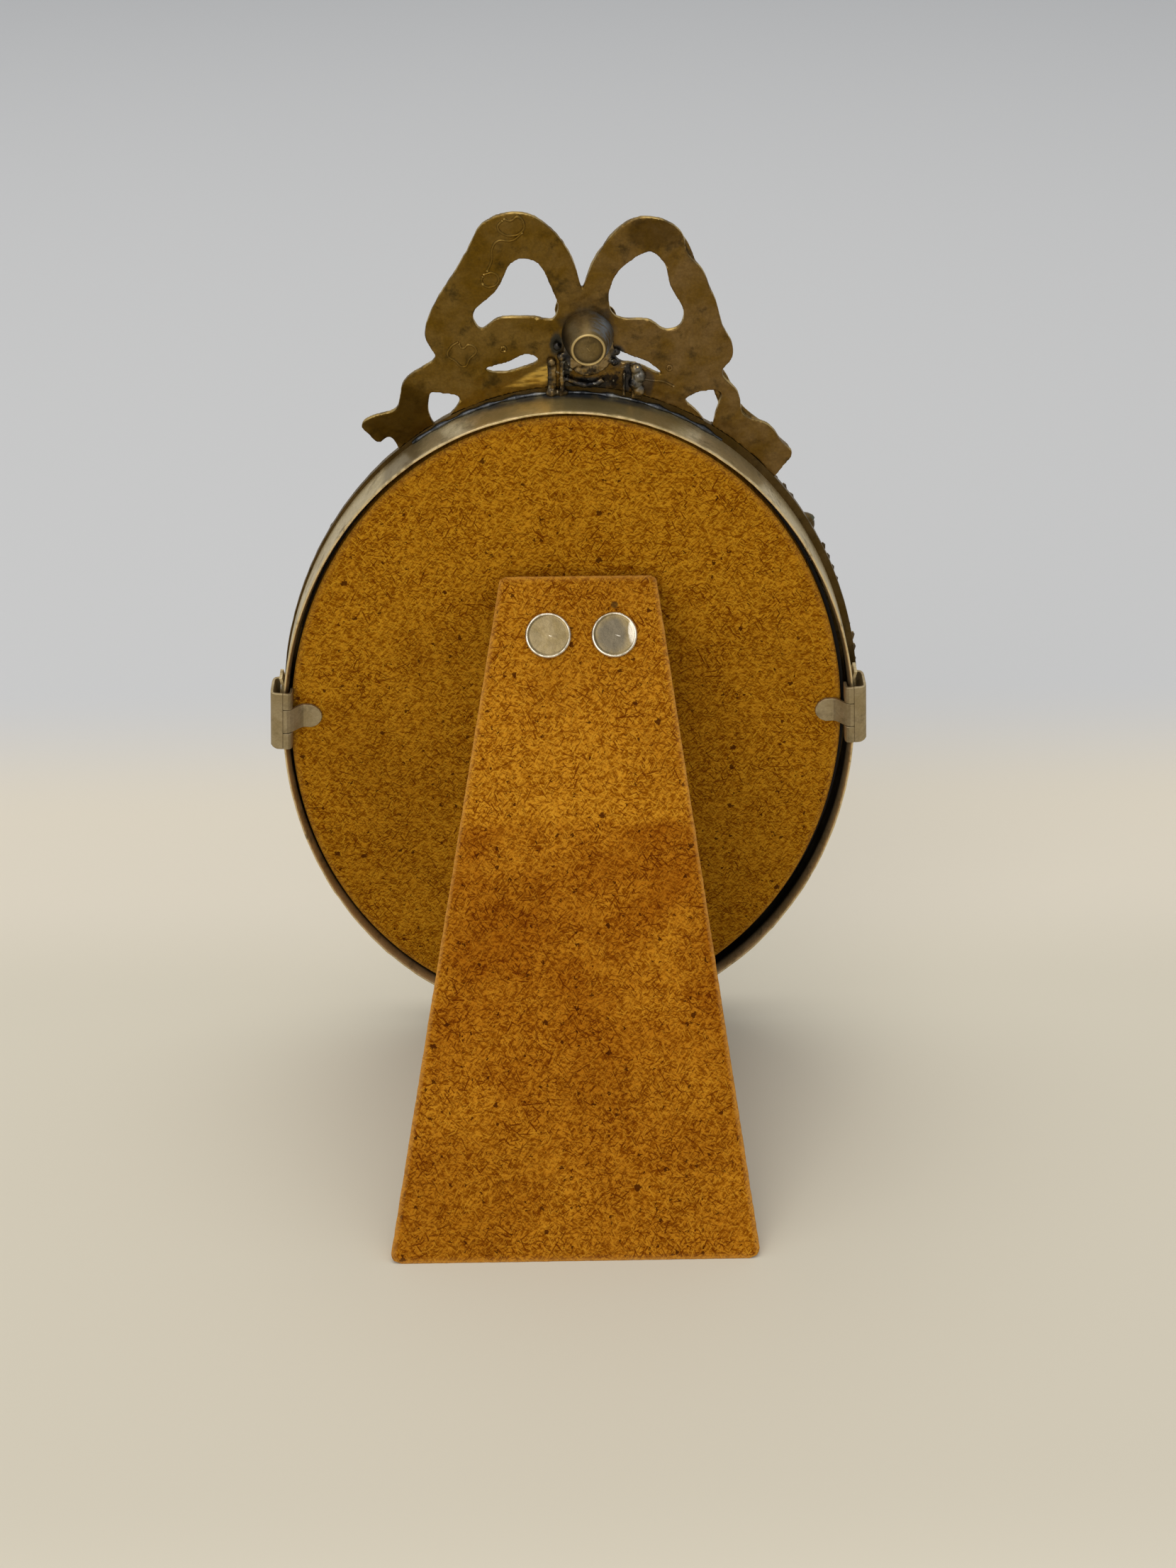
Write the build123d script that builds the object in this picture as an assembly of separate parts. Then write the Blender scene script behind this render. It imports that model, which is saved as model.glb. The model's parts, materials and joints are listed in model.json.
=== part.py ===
from build123d import *
import os
from math import atan, cos, degrees, radians, sin, sqrt

# Oval picture frame on an easel leg, in millimetres.
# +Z is up and the front faces -Y. Left and right are as seen from behind, so left is +X.
# Every piece is first drawn flat: x across, y up from the oval's centre, z towards the front,
# with z = 0 at the rear edge of the band. The leg's pieces are drawn folded against the back.
# The leg is then swung open, the whole is leaned back, and it is stood on the floor.

# Stance
LEAN = 11.0             # degrees that the oval leans back
LEG_SPLAY = 29.7        # degrees between the open leg and the vertical
FLOOR_BLOCK = 400.0     # size of the block that cuts the foot level

# Band and front rim
BAND_WIDTH = 100.0
BAND_HEIGHT = 130.0
BAND_DEPTH = 6.6
BAND_WALL = 0.8
RIM_OVERHANG = 1.2
RIM_SIDE_OVERHANG = 0.72
RIM_SHIFT = -0.48       # the band is soldered a little off the rim's middle
SIGHT_WIDTH = 88.0
SIGHT_HEIGHT = 118.0
RIM_PLATE = 1.6
RIM_RIDGE = 1.6
RIDGE_STEP = 1.3
RIDGE_ROUND = 1.0

# Glass, card and hardboard panel behind the rim
GLASS_THICK = 1.8
GLASS_GAP = 0.6
CARD_THICK = 0.4
PANEL_WIDTH = 96.4
PANEL_HEIGHT = 126.4
PANEL_THICK = 2.5
PANEL_SHIFT = 0.5       # the panel sits a little towards the left clip
PANEL_TURN = 1.5        # and is turned a little in the band

# Bow crest
BOW_THICK = 2.0
KNOT_X = -3.3
KNOT_Y = 75.3
KNOT_SIZE = (9.6, 8.8, 3.0)
STUD_DIAMETER = 5.1
STUD_LENGTH = 5.6
STUD_CHAMFER = 0.4
BOSS_DIAMETER = 6.8
BOSS_HEIGHT = 1.4
PEG_DIAMETER = 3.0
PEG_REACH = 1.2         # how far the peg goes into the knot

# Strap that ties the bow to the band
BRACKET_LEFT = 2.8
BRACKET_RIGHT = -12.6
BRACKET_BAR_TOP = 66.8
BRACKET_ROOT = 3.0      # how far its blanks reach below the band's top before they are cut
BRACKET_BAR_DEPTH = 2.0
UPRIGHT_DEPTH = 1.2
LEFT_UPRIGHT = (0.0, 2.8, 73.0)         # x from, x to, top
RIGHT_UPRIGHT = (-12.6, -9.2, 69.3)
SADDLE_WALL = 1.2
SADDLE_DROP = 1.0       # from the peg's axis down to the saddle's ends
POST_WIDTH = 2.0

# Easel leg
LEG_TOP_WIDTH = 26.0
LEG_FOOT_WIDTH = 60.6
LEG_LENGTH = 114.0      # before its foot is cut level
LEG_THICK = 3.0
LEG_TOP_X = -1.6
LEG_FOOT_X = 0.3
LEG_CORNER = 1.5
LEG_TOP_ABOVE_CENTRE = 34.2   # rear top edge of the open leg, above the oval's centre
STOP_GAP = 0.03

# Hinge behind the leg
HINGE_X = -2.0
HINGE_WIDTH = 20.0
PIVOT_GAP = 1.5         # from the pin's axis to the panel and to the leg
LEAF_THICK = 0.8
KNUCKLE_RADIUS = 1.3
PIN_RADIUS = 0.7
PIN_CLEARANCE = 0.05
MOVING_KNUCKLE = 9.8
KNUCKLE_GAP = 0.1
LEAF_NOTCH = 1.8
MOVING_LEAF_REACH = 11.0
FIXED_LEAF_REACH = 18.0

# Rivets
LEG_RIVET_DROP = 9.4    # below the leg's top edge
LEG_RIVET_SPACING = 11.0
LEG_RIVET_HEAD = 7.5
LEG_RIVET_HEAD_HEIGHT = 0.9
LEG_RIVET_ROUND = 0.3
LEG_RIVET_SHANK = 3.0
LEG_RIVET_TAIL = 4.6
LEG_RIVET_TAIL_HEIGHT = 0.5
PANEL_RIVET_DROP = 13.0  # below the pin
PANEL_RIVET_SPACING = 12.0
PANEL_RIVET_HEAD = 5.5
PANEL_RIVET_HEAD_HEIGHT = 0.6
PANEL_RIVET_SHANK = 2.6
PANEL_RIVET_FLARE = 4.6
PANEL_RIVET_FLARE_DEPTH = 0.8

# Clips over the band's rear edge, and the strips that they ride on
CLIP_Y = 6.4
CLIP_LENGTH = 11.6
CLIP_SHEET = 0.5
CLIP_OUTSIDE = 51.8     # outer face of the clip, from the middle of the oval
CLIP_INSIDE = 48.0      # inner face of the short inner flanges
CLIP_FLANGE_DEPTH = 4.9
CLIP_BEHIND_BAND = 0.9
INNER_FLANGE_DEPTH = 2.2
TONGUE_WIDTH = 4.7
TONGUE_PAD_START = 46.4
TONGUE_TIP = 43.0
TONGUE_SLOPE_START = 48.8
TONGUE_SKEW = 0.17      # sets the slope's two faces one sheet apart
TONGUE_ROOT = 1.0       # how far the tongue runs into the web
TONGUE_ROUND = 2.1
TONGUE_GAP = 0.06
SLIT = 0.15
KEEPER_SHEET = 0.5
KEEPER_FRONT = 4.0
KEEPER_REAR = 1.0
KEEPER_LOW = 1.5
KEEPER_BEND = 12.8
KEEPER_TOP = 14.2
KEEPER_LEAN_OUT = 0.5

# The bow's outline, from the notch between its loops down each side to the rim
LEFT_LOOP = [
    (-2.4, 82.5), (-1.2, 87.0), (1.0, 91.2), (3.8, 94.0), (7.4, 95.4), (10.7, 94.9), (13.1, 93.4),
    (14.9, 90.2), (17.4, 85.8), (20.2, 81.4), (22.1, 77.2), (22.2, 74.2), (21.0, 71.5), (23.7, 69.3),
    (26.1, 67.3), (26.9, 64.6), (27.4, 62.6), (30.9, 61.2), (33.3, 59.3), (32.2, 57.8), (30.6, 56.4),
    (29.2, 57.4), (28.0, 56.2), (26.0, 52.0),
]
RIGHT_LOOP = [
    (-2.4, 82.5), (-3.5, 85.8), (-5.4, 89.4), (-7.8, 92.4), (-10.7, 94.3), (-13.7, 94.3), (-16.9, 93.0),
    (-18.2, 91.0), (-18.9, 88.4), (-21.0, 86.1), (-22.4, 82.9), (-23.7, 80.0), (-24.7, 76.3), (-26.4, 73.2),
    (-26.2, 70.5), (-24.9, 68.3), (-26.2, 66.4), (-27.9, 64.0), (-28.6, 60.8), (-31.0, 59.7), (-33.5, 58.2),
    (-35.2, 55.8), (-36.9, 53.8), (-36.1, 51.9), (-34.0, 48.5),
]
BOW_HOLES = {
    "left loop": [
        (6.2, 87.9), (8.8, 86.9), (10.0, 84.5), (11.9, 81.7), (14.3, 79.5), (14.7, 77.9), (13.5, 76.3),
        (11.6, 77.6), (8.6, 78.2), (4.4, 78.0), (2.2, 77.8), (1.4, 79.5), (2.2, 82.4), (3.6, 86.0),
    ],
    "left slit": [
        (12.9, 69.1), (10.2, 68.7), (7.0, 69.5), (4.7, 71.0), (6.2, 71.8), (8.2, 71.1), (10.9, 70.0),
    ],
    "left corner": [(21.7, 65.2), (18.7, 64.9), (17.4, 64.3), (18.4, 62.0), (21.4, 59.6), (22.3, 62.0)],
    "right loop": [
        (-12.5, 88.9), (-10.3, 87.7), (-7.6, 84.8), (-6.6, 81.4), (-7.4, 78.5), (-9.9, 77.7), (-13.2, 77.4),
        (-15.5, 75.9), (-17.4, 76.1), (-18.4, 78.8), (-17.7, 80.6), (-16.0, 84.1), (-15.0, 87.4),
    ],
    "right slit": [(-7.6, 71.9), (-8.2, 70.7), (-11.0, 70.0), (-15.8, 67.6), (-12.7, 70.4), (-10.0, 71.6)],
    "right corner": [
        (-19.2, 63.8), (-22.3, 65.1), (-24.7, 64.8), (-24.2, 61.8), (-23.4, 58.4), (-21.0, 61.6),
    ],
}

# Levels, towards the front
FORWARDS = (0, 0, 1)
RIM_BACK = BAND_DEPTH
GLASS_BACK = RIM_BACK - GLASS_THICK
CARD_BACK = GLASS_BACK - CARD_THICK
PANEL_BACK = CARD_BACK - PANEL_THICK
PIN_Z = PANEL_BACK - PIVOT_GAP
LEG_FRONT = PIN_Z - PIVOT_GAP
LEG_REAR = LEG_FRONT - LEG_THICK

# The open leg's top edge bears on the panel, which sets how far the leg reaches past the pin
OPEN_ANGLE = LEAN + LEG_SPLAY
LEG_PAST_PIN = PIVOT_GAP * (1 + cos(radians(OPEN_ANGLE))) / sin(radians(OPEN_ANGLE)) - STOP_GAP
PIN_Y = (LEG_TOP_ABOVE_CENTRE - LEG_PAST_PIN * cos(radians(OPEN_ANGLE))
         - (PIVOT_GAP + LEG_THICK) * sin(radians(OPEN_ANGLE)))
LEG_TOP = PIN_Y + LEG_PAST_PIN
LEG_RIVET_Y = LEG_TOP - LEG_RIVET_DROP
PANEL_RIVET_Y = PIN_Y - PANEL_RIVET_DROP
RIM_WIDTH = BAND_WIDTH + 2 * RIM_SIDE_OVERHANG
RIM_HEIGHT = BAND_HEIGHT + 2 * RIM_OVERHANG


def block(x_range, y_range, z_range):
    """A box between two limits each way."""
    size = [high - low for low, high in (x_range, y_range, z_range)]
    middle = [(high + low) / 2 for low, high in (x_range, y_range, z_range)]
    return Pos(*middle) * Box(*size)


def disc(x, y, z_range, diameter):
    """A round piece that stands towards the front."""
    low, high = z_range
    return Pos(x, y, (low + high) / 2) * Cylinder(diameter / 2, high - low)


def oval_slab(width, height, z_range):
    """An oval plate between two levels."""
    low, high = z_range
    return Pos(0, 0, low) * extrude(Ellipse(width / 2, height / 2), high - low)


def oval_ring(width, height, wall, z_range):
    """An oval ring whose wall has the same thickness all round."""
    return oval_slab(width, height, z_range) - oval_slab(width - 2 * wall, height - 2 * wall, z_range)


def half_width_at(y, width, height):
    """Half the oval's width at a height above its centre."""
    return width / 2 * sqrt(1 - (2 * y / height) ** 2)


def make_front_rim():
    """The moulding: a flat plate with a rounded ridge on its front."""
    plate = oval_slab(RIM_WIDTH, RIM_HEIGHT, (RIM_BACK, RIM_BACK + RIM_PLATE))
    plate -= oval_slab(SIGHT_WIDTH, SIGHT_HEIGHT, (RIM_BACK, RIM_BACK + RIM_PLATE))
    ridge_z = (RIM_BACK + RIM_PLATE, RIM_BACK + RIM_PLATE + RIM_RIDGE)
    ridge = oval_slab(RIM_WIDTH - 2 * RIDGE_STEP, RIM_HEIGHT - 2 * RIDGE_STEP, ridge_z)
    ridge -= oval_slab(SIGHT_WIDTH + 2 * RIDGE_STEP, SIGHT_HEIGHT + 2 * RIDGE_STEP, ridge_z)
    ridge = fillet(ridge.faces().sort_by(Axis.Z)[-1].edges(), RIDGE_ROUND)
    return Pos(RIM_SHIFT, 0, 0) * (plate + ridge)


def make_bow_crest():
    """The ribbon bow: one flat casting, pierced, that meets the rim's edge."""
    outline = Spline(*LEFT_LOOP) + Spline(*RIGHT_LOOP) + Line(LEFT_LOOP[-1], RIGHT_LOOP[-1])
    bow = extrude(make_face(outline), BOW_THICK, dir=FORWARDS)
    for points in BOW_HOLES.values():
        bow -= extrude(make_face(Spline(*points, periodic=True)), BOW_THICK, dir=FORWARDS)
    bow = Pos(0, 0, RIM_BACK) * bow
    bow -= Pos(RIM_SHIFT, 0, 0) * oval_slab(RIM_WIDTH, RIM_HEIGHT, (RIM_BACK, RIM_BACK + BOW_THICK))
    return bow - disc(KNOT_X, KNOT_Y, (RIM_BACK, RIM_BACK + BOW_THICK), PEG_DIAMETER)


def make_crest_stud():
    """The peg behind the knot: a round end on a boss, with a thin shank through the bow."""
    end = disc(KNOT_X, KNOT_Y, (RIM_BACK - STUD_LENGTH, RIM_BACK), STUD_DIAMETER)
    end = chamfer(end.edges().sort_by(Axis.Z)[0], STUD_CHAMFER)
    boss = disc(KNOT_X, KNOT_Y, (RIM_BACK - BOSS_HEIGHT, RIM_BACK), BOSS_DIAMETER)
    boss = fillet(boss.edges().sort_by(Axis.Z)[0], BOSS_HEIGHT / 2)
    shank = disc(KNOT_X, KNOT_Y, (RIM_BACK, RIM_BACK + BOW_THICK + PEG_REACH), PEG_DIAMETER)
    return end + boss + shank


def make_crest_knot():
    """The ribbon's knot on the front of the bow."""
    width, height, depth = KNOT_SIZE
    front = RIM_BACK + BOW_THICK
    dome = scale(Sphere(1), by=(width / 2, height / 2, depth))
    dome = split(dome, Plane.XY, keep=Keep.TOP)
    knot = Pos(KNOT_X, KNOT_Y, front) * dome
    return knot - disc(KNOT_X, KNOT_Y, (front, front + PEG_REACH), PEG_DIAMETER)


def make_crest_bracket():
    """The strap: a bar on the band, two uprights behind the bow and a saddle under the peg."""
    band_top = BAND_HEIGHT / 2
    root = band_top - BRACKET_ROOT
    strap = block((BRACKET_RIGHT, BRACKET_LEFT), (root, BRACKET_BAR_TOP),
                  (RIM_BACK - BRACKET_BAR_DEPTH, RIM_BACK))
    saddle_z = (RIM_BACK - UPRIGHT_DEPTH, RIM_BACK)
    for x_from, x_to, top in (LEFT_UPRIGHT, RIGHT_UPRIGHT):
        strap += block((x_from, x_to), (root, top), saddle_z)
    saddle = disc(KNOT_X, KNOT_Y, saddle_z, BOSS_DIAMETER + 2 * SADDLE_WALL)
    saddle -= disc(KNOT_X, KNOT_Y, saddle_z, BOSS_DIAMETER)
    under_peg = block((KNOT_X - BOSS_DIAMETER, KNOT_X + BOSS_DIAMETER), (root, KNOT_Y - SADDLE_DROP),
                      saddle_z)
    post_top = KNOT_Y - BOSS_DIAMETER / 2 - SADDLE_WALL / 2
    post = block((KNOT_X - POST_WIDTH / 2, KNOT_X + POST_WIDTH / 2), (root, post_top), saddle_z)
    strap += (saddle & under_peg) + post
    strap -= disc(KNOT_X, KNOT_Y, saddle_z, BOSS_DIAMETER)
    return strap - oval_slab(BAND_WIDTH, BAND_HEIGHT, (0, RIM_BACK))


def make_panel_rivets():
    """Two rivets that hold the fixed leaf, flared flush with the front of the panel."""
    leaf_back = PANEL_BACK - LEAF_THICK
    rivets = []
    for side in (-1, 1):
        x = HINGE_X + side * PANEL_RIVET_SPACING / 2
        head = disc(x, PANEL_RIVET_Y, (leaf_back - PANEL_RIVET_HEAD_HEIGHT, leaf_back), PANEL_RIVET_HEAD)
        shank = disc(x, PANEL_RIVET_Y, (leaf_back, CARD_BACK), PANEL_RIVET_SHANK)
        flare = Cone(PANEL_RIVET_SHANK / 2, PANEL_RIVET_FLARE / 2, PANEL_RIVET_FLARE_DEPTH)
        flare = Pos(x, PANEL_RIVET_Y, CARD_BACK - PANEL_RIVET_FLARE_DEPTH / 2) * flare
        rivets.append(head + shank + flare)
    return rivets


def make_leg_rivets():
    """Two flat-headed rivets through the leg and the moving leaf."""
    leaf_front = LEG_FRONT + LEAF_THICK
    rivets = []
    for side in (-1, 1):
        x = HINGE_X + side * LEG_RIVET_SPACING / 2
        head = disc(x, LEG_RIVET_Y, (LEG_REAR - LEG_RIVET_HEAD_HEIGHT, LEG_REAR), LEG_RIVET_HEAD)
        head = fillet(head.edges().sort_by(Axis.Z)[0], LEG_RIVET_ROUND)
        shank = disc(x, LEG_RIVET_Y, (LEG_REAR, leaf_front), LEG_RIVET_SHANK)
        tail = disc(x, LEG_RIVET_Y, (leaf_front, leaf_front + LEG_RIVET_TAIL_HEIGHT), LEG_RIVET_TAIL)
        rivets.append(head + shank + tail)
    return rivets


def make_back_panel():
    """The oval hardboard back, with holes for the hinge's rivets."""
    panel = Rot(0, 0, PANEL_TURN) * oval_slab(PANEL_WIDTH, PANEL_HEIGHT, (PANEL_BACK, CARD_BACK))
    panel = Pos(PANEL_SHIFT, 0, 0) * panel
    for rivet in make_panel_rivets():
        panel -= rivet
    return panel


def knuckle(x_from, x_to, bore):
    """One rolled knuckle on the pin's axis, and the hole through it."""
    middle = Pos((x_from + x_to) / 2, PIN_Y, PIN_Z) * Rot(0, 90, 0)
    return middle * Cylinder(KNUCKLE_RADIUS, x_to - x_from), middle * Cylinder(bore, x_to - x_from)


def make_fixed_leaf():
    """The leaf on the panel, with a knuckle at each end of the pin."""
    left = HINGE_X + HINGE_WIDTH / 2
    right = HINGE_X - HINGE_WIDTH / 2
    level = (PANEL_BACK - LEAF_THICK, PANEL_BACK)
    leaf = block((right, left), (PIN_Y - FIXED_LEAF_REACH, PIN_Y - LEAF_NOTCH), level)
    inner = MOVING_KNUCKLE / 2 + KNUCKLE_GAP
    for x_from, x_to in ((right, HINGE_X - inner), (HINGE_X + inner, left)):
        barrel, bore = knuckle(x_from, x_to, PIN_RADIUS)
        arm = block((x_from, x_to), (PIN_Y - LEAF_NOTCH, PIN_Y), level)
        leaf = leaf + arm + barrel - bore
    for rivet in make_panel_rivets():
        leaf -= rivet
    return leaf


def make_moving_leaf():
    """The leaf under the leg, with the middle knuckle."""
    half = HINGE_WIDTH / 2
    level = (LEG_FRONT, LEG_FRONT + LEAF_THICK)
    leaf = block((HINGE_X - half, HINGE_X + half), (PIN_Y - MOVING_LEAF_REACH, PIN_Y - LEAF_NOTCH), level)
    x_range = (HINGE_X - MOVING_KNUCKLE / 2, HINGE_X + MOVING_KNUCKLE / 2)
    barrel, bore = knuckle(*x_range, PIN_RADIUS + PIN_CLEARANCE)
    leaf = leaf + block(x_range, (PIN_Y - LEAF_NOTCH, PIN_Y), level) + barrel - bore
    for rivet in make_leg_rivets():
        leaf -= rivet
    return leaf


def make_hinge_pin():
    """The plain pin, held by the fixed leaf's knuckles."""
    return Pos(HINGE_X, PIN_Y, PIN_Z) * Rot(0, 90, 0) * Cylinder(PIN_RADIUS, HINGE_WIDTH)


def make_easel_leg():
    """The tapered hardboard leg, folded flat; its foot is cut level with the floor later."""
    foot = LEG_TOP - LEG_LENGTH
    corners = [
        (LEG_TOP_X - LEG_TOP_WIDTH / 2, LEG_TOP), (LEG_TOP_X + LEG_TOP_WIDTH / 2, LEG_TOP),
        (LEG_FOOT_X + LEG_FOOT_WIDTH / 2, foot), (LEG_FOOT_X - LEG_FOOT_WIDTH / 2, foot),
    ]
    outline = fillet(Polygon(*corners, align=None).vertices(), LEG_CORNER)
    leg = Pos(0, 0, LEG_REAR) * extrude(outline, LEG_THICK, dir=FORWARDS)
    for rivet in make_leg_rivets():
        leg -= rivet
    return leg


def make_clip(side):
    """A bent steel clip: outer flange, web behind the band, short inner flanges and a tongue."""
    web_back = -CLIP_BEHIND_BAND
    web_front = web_back + CLIP_SHEET
    length = (CLIP_Y - CLIP_LENGTH / 2, CLIP_Y + CLIP_LENGTH / 2)
    web = block((CLIP_INSIDE, CLIP_OUTSIDE), length, (web_back, web_front))
    flange_z = (web_back, web_back + CLIP_FLANGE_DEPTH)
    flange = block((CLIP_OUTSIDE - CLIP_SHEET, CLIP_OUTSIDE), length, flange_z)
    clip = web + flange
    clip = fillet(clip.edges().filter_by(Axis.Y).group_by(Axis.Z)[0].sort_by(Axis.X)[-1], CLIP_SHEET)
    tongue_low = CLIP_Y - TONGUE_WIDTH / 2
    tongue_high = CLIP_Y + TONGUE_WIDTH / 2
    inside = (CLIP_INSIDE, CLIP_INSIDE + CLIP_SHEET)
    for y_range in ((length[0], tongue_low - SLIT), (tongue_high + SLIT, length[1])):
        clip += block(inside, y_range, (web_back, web_back + INNER_FLANGE_DEPTH))
    pad_front = PANEL_BACK - TONGUE_GAP
    side_view = Polygon(
        (TONGUE_SLOPE_START, web_back), (TONGUE_PAD_START, pad_front - CLIP_SHEET),
        (TONGUE_TIP, pad_front - CLIP_SHEET), (TONGUE_TIP, pad_front),
        (TONGUE_PAD_START - TONGUE_SKEW, pad_front), (TONGUE_SLOPE_START - TONGUE_SKEW, web_front),
        (TONGUE_SLOPE_START + TONGUE_ROOT, web_front), (TONGUE_SLOPE_START + TONGUE_ROOT, web_back),
        align=None)
    section = Plane((0, tongue_high, 0), x_dir=(1, 0, 0), z_dir=(0, -1, 0))
    tongue = extrude(section * side_view, TONGUE_WIDTH, dir=(0, -1, 0))
    tip = tongue.edges().filter_by(Axis.Z).group_by(Axis.X)[0]
    tongue = fillet(tip, TONGUE_ROUND)
    inner_edge = block((CLIP_INSIDE, TONGUE_SLOPE_START), (tongue_low - SLIT, tongue_high + SLIT),
                       (web_back, web_front))
    clip = clip - inner_edge + tongue
    band_x = half_width_at(CLIP_Y, BAND_WIDTH, BAND_HEIGHT)
    band_turn = degrees(atan(CLIP_Y / band_x * (BAND_WIDTH / BAND_HEIGHT) ** 2))
    clip = Pos(band_x, CLIP_Y, 0) * Rot(0, 0, band_turn) * Pos(-band_x, -CLIP_Y, 0) * clip
    return clip if side > 0 else mirror(clip, Plane.YZ)


def make_keeper(side):
    """A thin strip on the outside of the band, with its upper end bent outwards."""
    level = (KEEPER_REAR, KEEPER_FRONT)
    strip = oval_ring(BAND_WIDTH + 2 * KEEPER_SHEET, BAND_HEIGHT + 2 * KEEPER_SHEET, KEEPER_SHEET, level)
    strip &= block((0, BAND_WIDTH), (KEEPER_LOW, KEEPER_BEND), level)
    root = half_width_at(KEEPER_BEND, BAND_WIDTH, BAND_HEIGHT)
    tip = half_width_at(KEEPER_TOP, BAND_WIDTH, BAND_HEIGHT) + KEEPER_LEAN_OUT
    finger = Polygon((root, KEEPER_BEND), (root + KEEPER_SHEET, KEEPER_BEND),
                     (tip + KEEPER_SHEET, KEEPER_TOP), (tip, KEEPER_TOP), align=None)
    strip += Pos(0, 0, KEEPER_REAR) * extrude(finger, KEEPER_FRONT - KEEPER_REAR, dir=FORWARDS)
    strip -= oval_slab(BAND_WIDTH, BAND_HEIGHT, level)
    return strip if side > 0 else mirror(strip, Plane.YZ)


def make_glass_pane():
    """The oval glass, which sits against the back of the rim."""
    trim = 2 * (BAND_WALL + GLASS_GAP)
    return oval_slab(BAND_WIDTH - trim, BAND_HEIGHT - trim, (GLASS_BACK, RIM_BACK))


def make_picture_card():
    """The bare card between the glass and the panel."""
    trim = 2 * (BAND_WALL + GLASS_GAP)
    return oval_slab(BAND_WIDTH - trim, BAND_HEIGHT - trim, (CARD_BACK, GLASS_BACK))


fixed_pieces = {
    "front_rim": make_front_rim(),
    "rear_band": oval_ring(BAND_WIDTH, BAND_HEIGHT, BAND_WALL, (0, RIM_BACK)),
    "bow_crest": make_bow_crest(),
    "crest_knot": make_crest_knot(),
    "crest_stud": make_crest_stud(),
    "crest_bracket": make_crest_bracket(),
    "glass_pane": make_glass_pane(),
    "picture_card": make_picture_card(),
    "back_panel": make_back_panel(),
    "hinge_fixed_leaf": make_fixed_leaf(),
    "hinge_pin": make_hinge_pin(),
    "panel_rivets": Compound(make_panel_rivets()),
    "left_clip": make_clip(1),
    "right_clip": make_clip(-1),
    "left_clip_keeper": make_keeper(1),
    "right_clip_keeper": make_keeper(-1),
}
leg_pieces = {
    "easel_leg": make_easel_leg(),
    "hinge_moving_leaf": make_moving_leaf(),
    "leg_rivets": Compound(make_leg_rivets()),
}

# Swing the leg open, lean the oval back and stand it on the floor
half_height = BAND_HEIGHT / 2
lean_sin = sin(radians(LEAN))
lean_cos = cos(radians(LEAN))
leaned = Plane((0, half_height * lean_sin, half_height * lean_cos), x_dir=(1, 0, 0),
               z_dir=(0, -lean_cos, lean_sin)).location
opened = Pos(0, PIN_Y, PIN_Z) * Rot(OPEN_ANGLE, 0, 0) * Pos(0, -PIN_Y, -PIN_Z)
pieces = {name: leaned * piece for name, piece in fixed_pieces.items()}
pieces.update({name: leaned * opened * piece for name, piece in leg_pieces.items()})
below_floor = Pos(0, 0, -FLOOR_BLOCK / 2) * Box(FLOOR_BLOCK, FLOOR_BLOCK, FLOOR_BLOCK)
pieces["easel_leg"] -= below_floor

# Move the origin to the middle of the footprint
boxes = [piece.bounding_box() for piece in pieces.values()]
low = [min(tuple(box.min)[axis] for box in boxes) for axis in range(3)]
high = [max(tuple(box.max)[axis] for box in boxes) for axis in range(3)]
to_origin = Pos(-(low[0] + high[0]) / 2, -(low[1] + high[1]) / 2, -low[2])

os.makedirs("parts", exist_ok=True)
for name, piece in pieces.items():
    export_step(to_origin * piece, f"parts/{name}.step")

pin_place = to_origin * leaned * Pos(HINGE_X, PIN_Y, PIN_Z)
print("hinge pin at", [round(value, 3) for value in tuple(pin_place.position)])
print("size", [round(top - bottom, 3) for bottom, top in zip(low, high)], "moved by", to_origin.position)
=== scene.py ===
import json
from math import atan2, cos, hypot, pi, radians, sin, sqrt

import bpy
from mathutils import Matrix, Vector


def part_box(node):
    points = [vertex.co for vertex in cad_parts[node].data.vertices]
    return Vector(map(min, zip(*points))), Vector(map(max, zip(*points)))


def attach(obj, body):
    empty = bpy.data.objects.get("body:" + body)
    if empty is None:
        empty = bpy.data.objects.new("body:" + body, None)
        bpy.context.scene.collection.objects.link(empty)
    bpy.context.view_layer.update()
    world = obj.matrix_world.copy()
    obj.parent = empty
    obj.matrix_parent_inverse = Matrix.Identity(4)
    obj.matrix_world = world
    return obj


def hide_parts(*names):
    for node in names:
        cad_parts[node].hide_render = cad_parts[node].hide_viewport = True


bl_info = {
    "name": "Oval picture frame",
    "version": (1, 0, 0),
    "blender": (4, 5, 0),
    "location": "View3D > Sidebar > Oval frame",
    "description": "Dresses an oval brass picture frame that stands on its easel leg",
    "category": "Object",
}

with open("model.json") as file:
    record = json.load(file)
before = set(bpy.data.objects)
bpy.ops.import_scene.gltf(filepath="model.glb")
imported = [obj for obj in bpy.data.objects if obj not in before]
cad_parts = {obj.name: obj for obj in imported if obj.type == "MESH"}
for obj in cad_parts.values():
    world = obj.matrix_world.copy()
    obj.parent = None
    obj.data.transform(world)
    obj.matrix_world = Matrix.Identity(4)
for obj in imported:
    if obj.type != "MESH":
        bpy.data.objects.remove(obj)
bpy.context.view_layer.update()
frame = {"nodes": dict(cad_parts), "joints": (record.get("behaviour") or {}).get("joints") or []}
MM = 0.001

# Places that come from the frame. The oval's own axes are x across, y up and z to the front.
JOINTS = {joint["name"]: joint for joint in frame["joints"]}
REARWARDS = Vector(JOINTS["left_clip_pull"]["axis"])
LEAN = atan2(-REARWARDS.z, REARWARDS.y)
OPEN_ANGLE = radians(JOINTS["leg_fold"]["range_deg"][1])
PIN = Vector(JOINTS["leg_fold"]["pos_m"])


def middle_of(node):
    """The middle of a CAD node's box."""
    low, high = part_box(node)
    return (low + high) / 2


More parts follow.
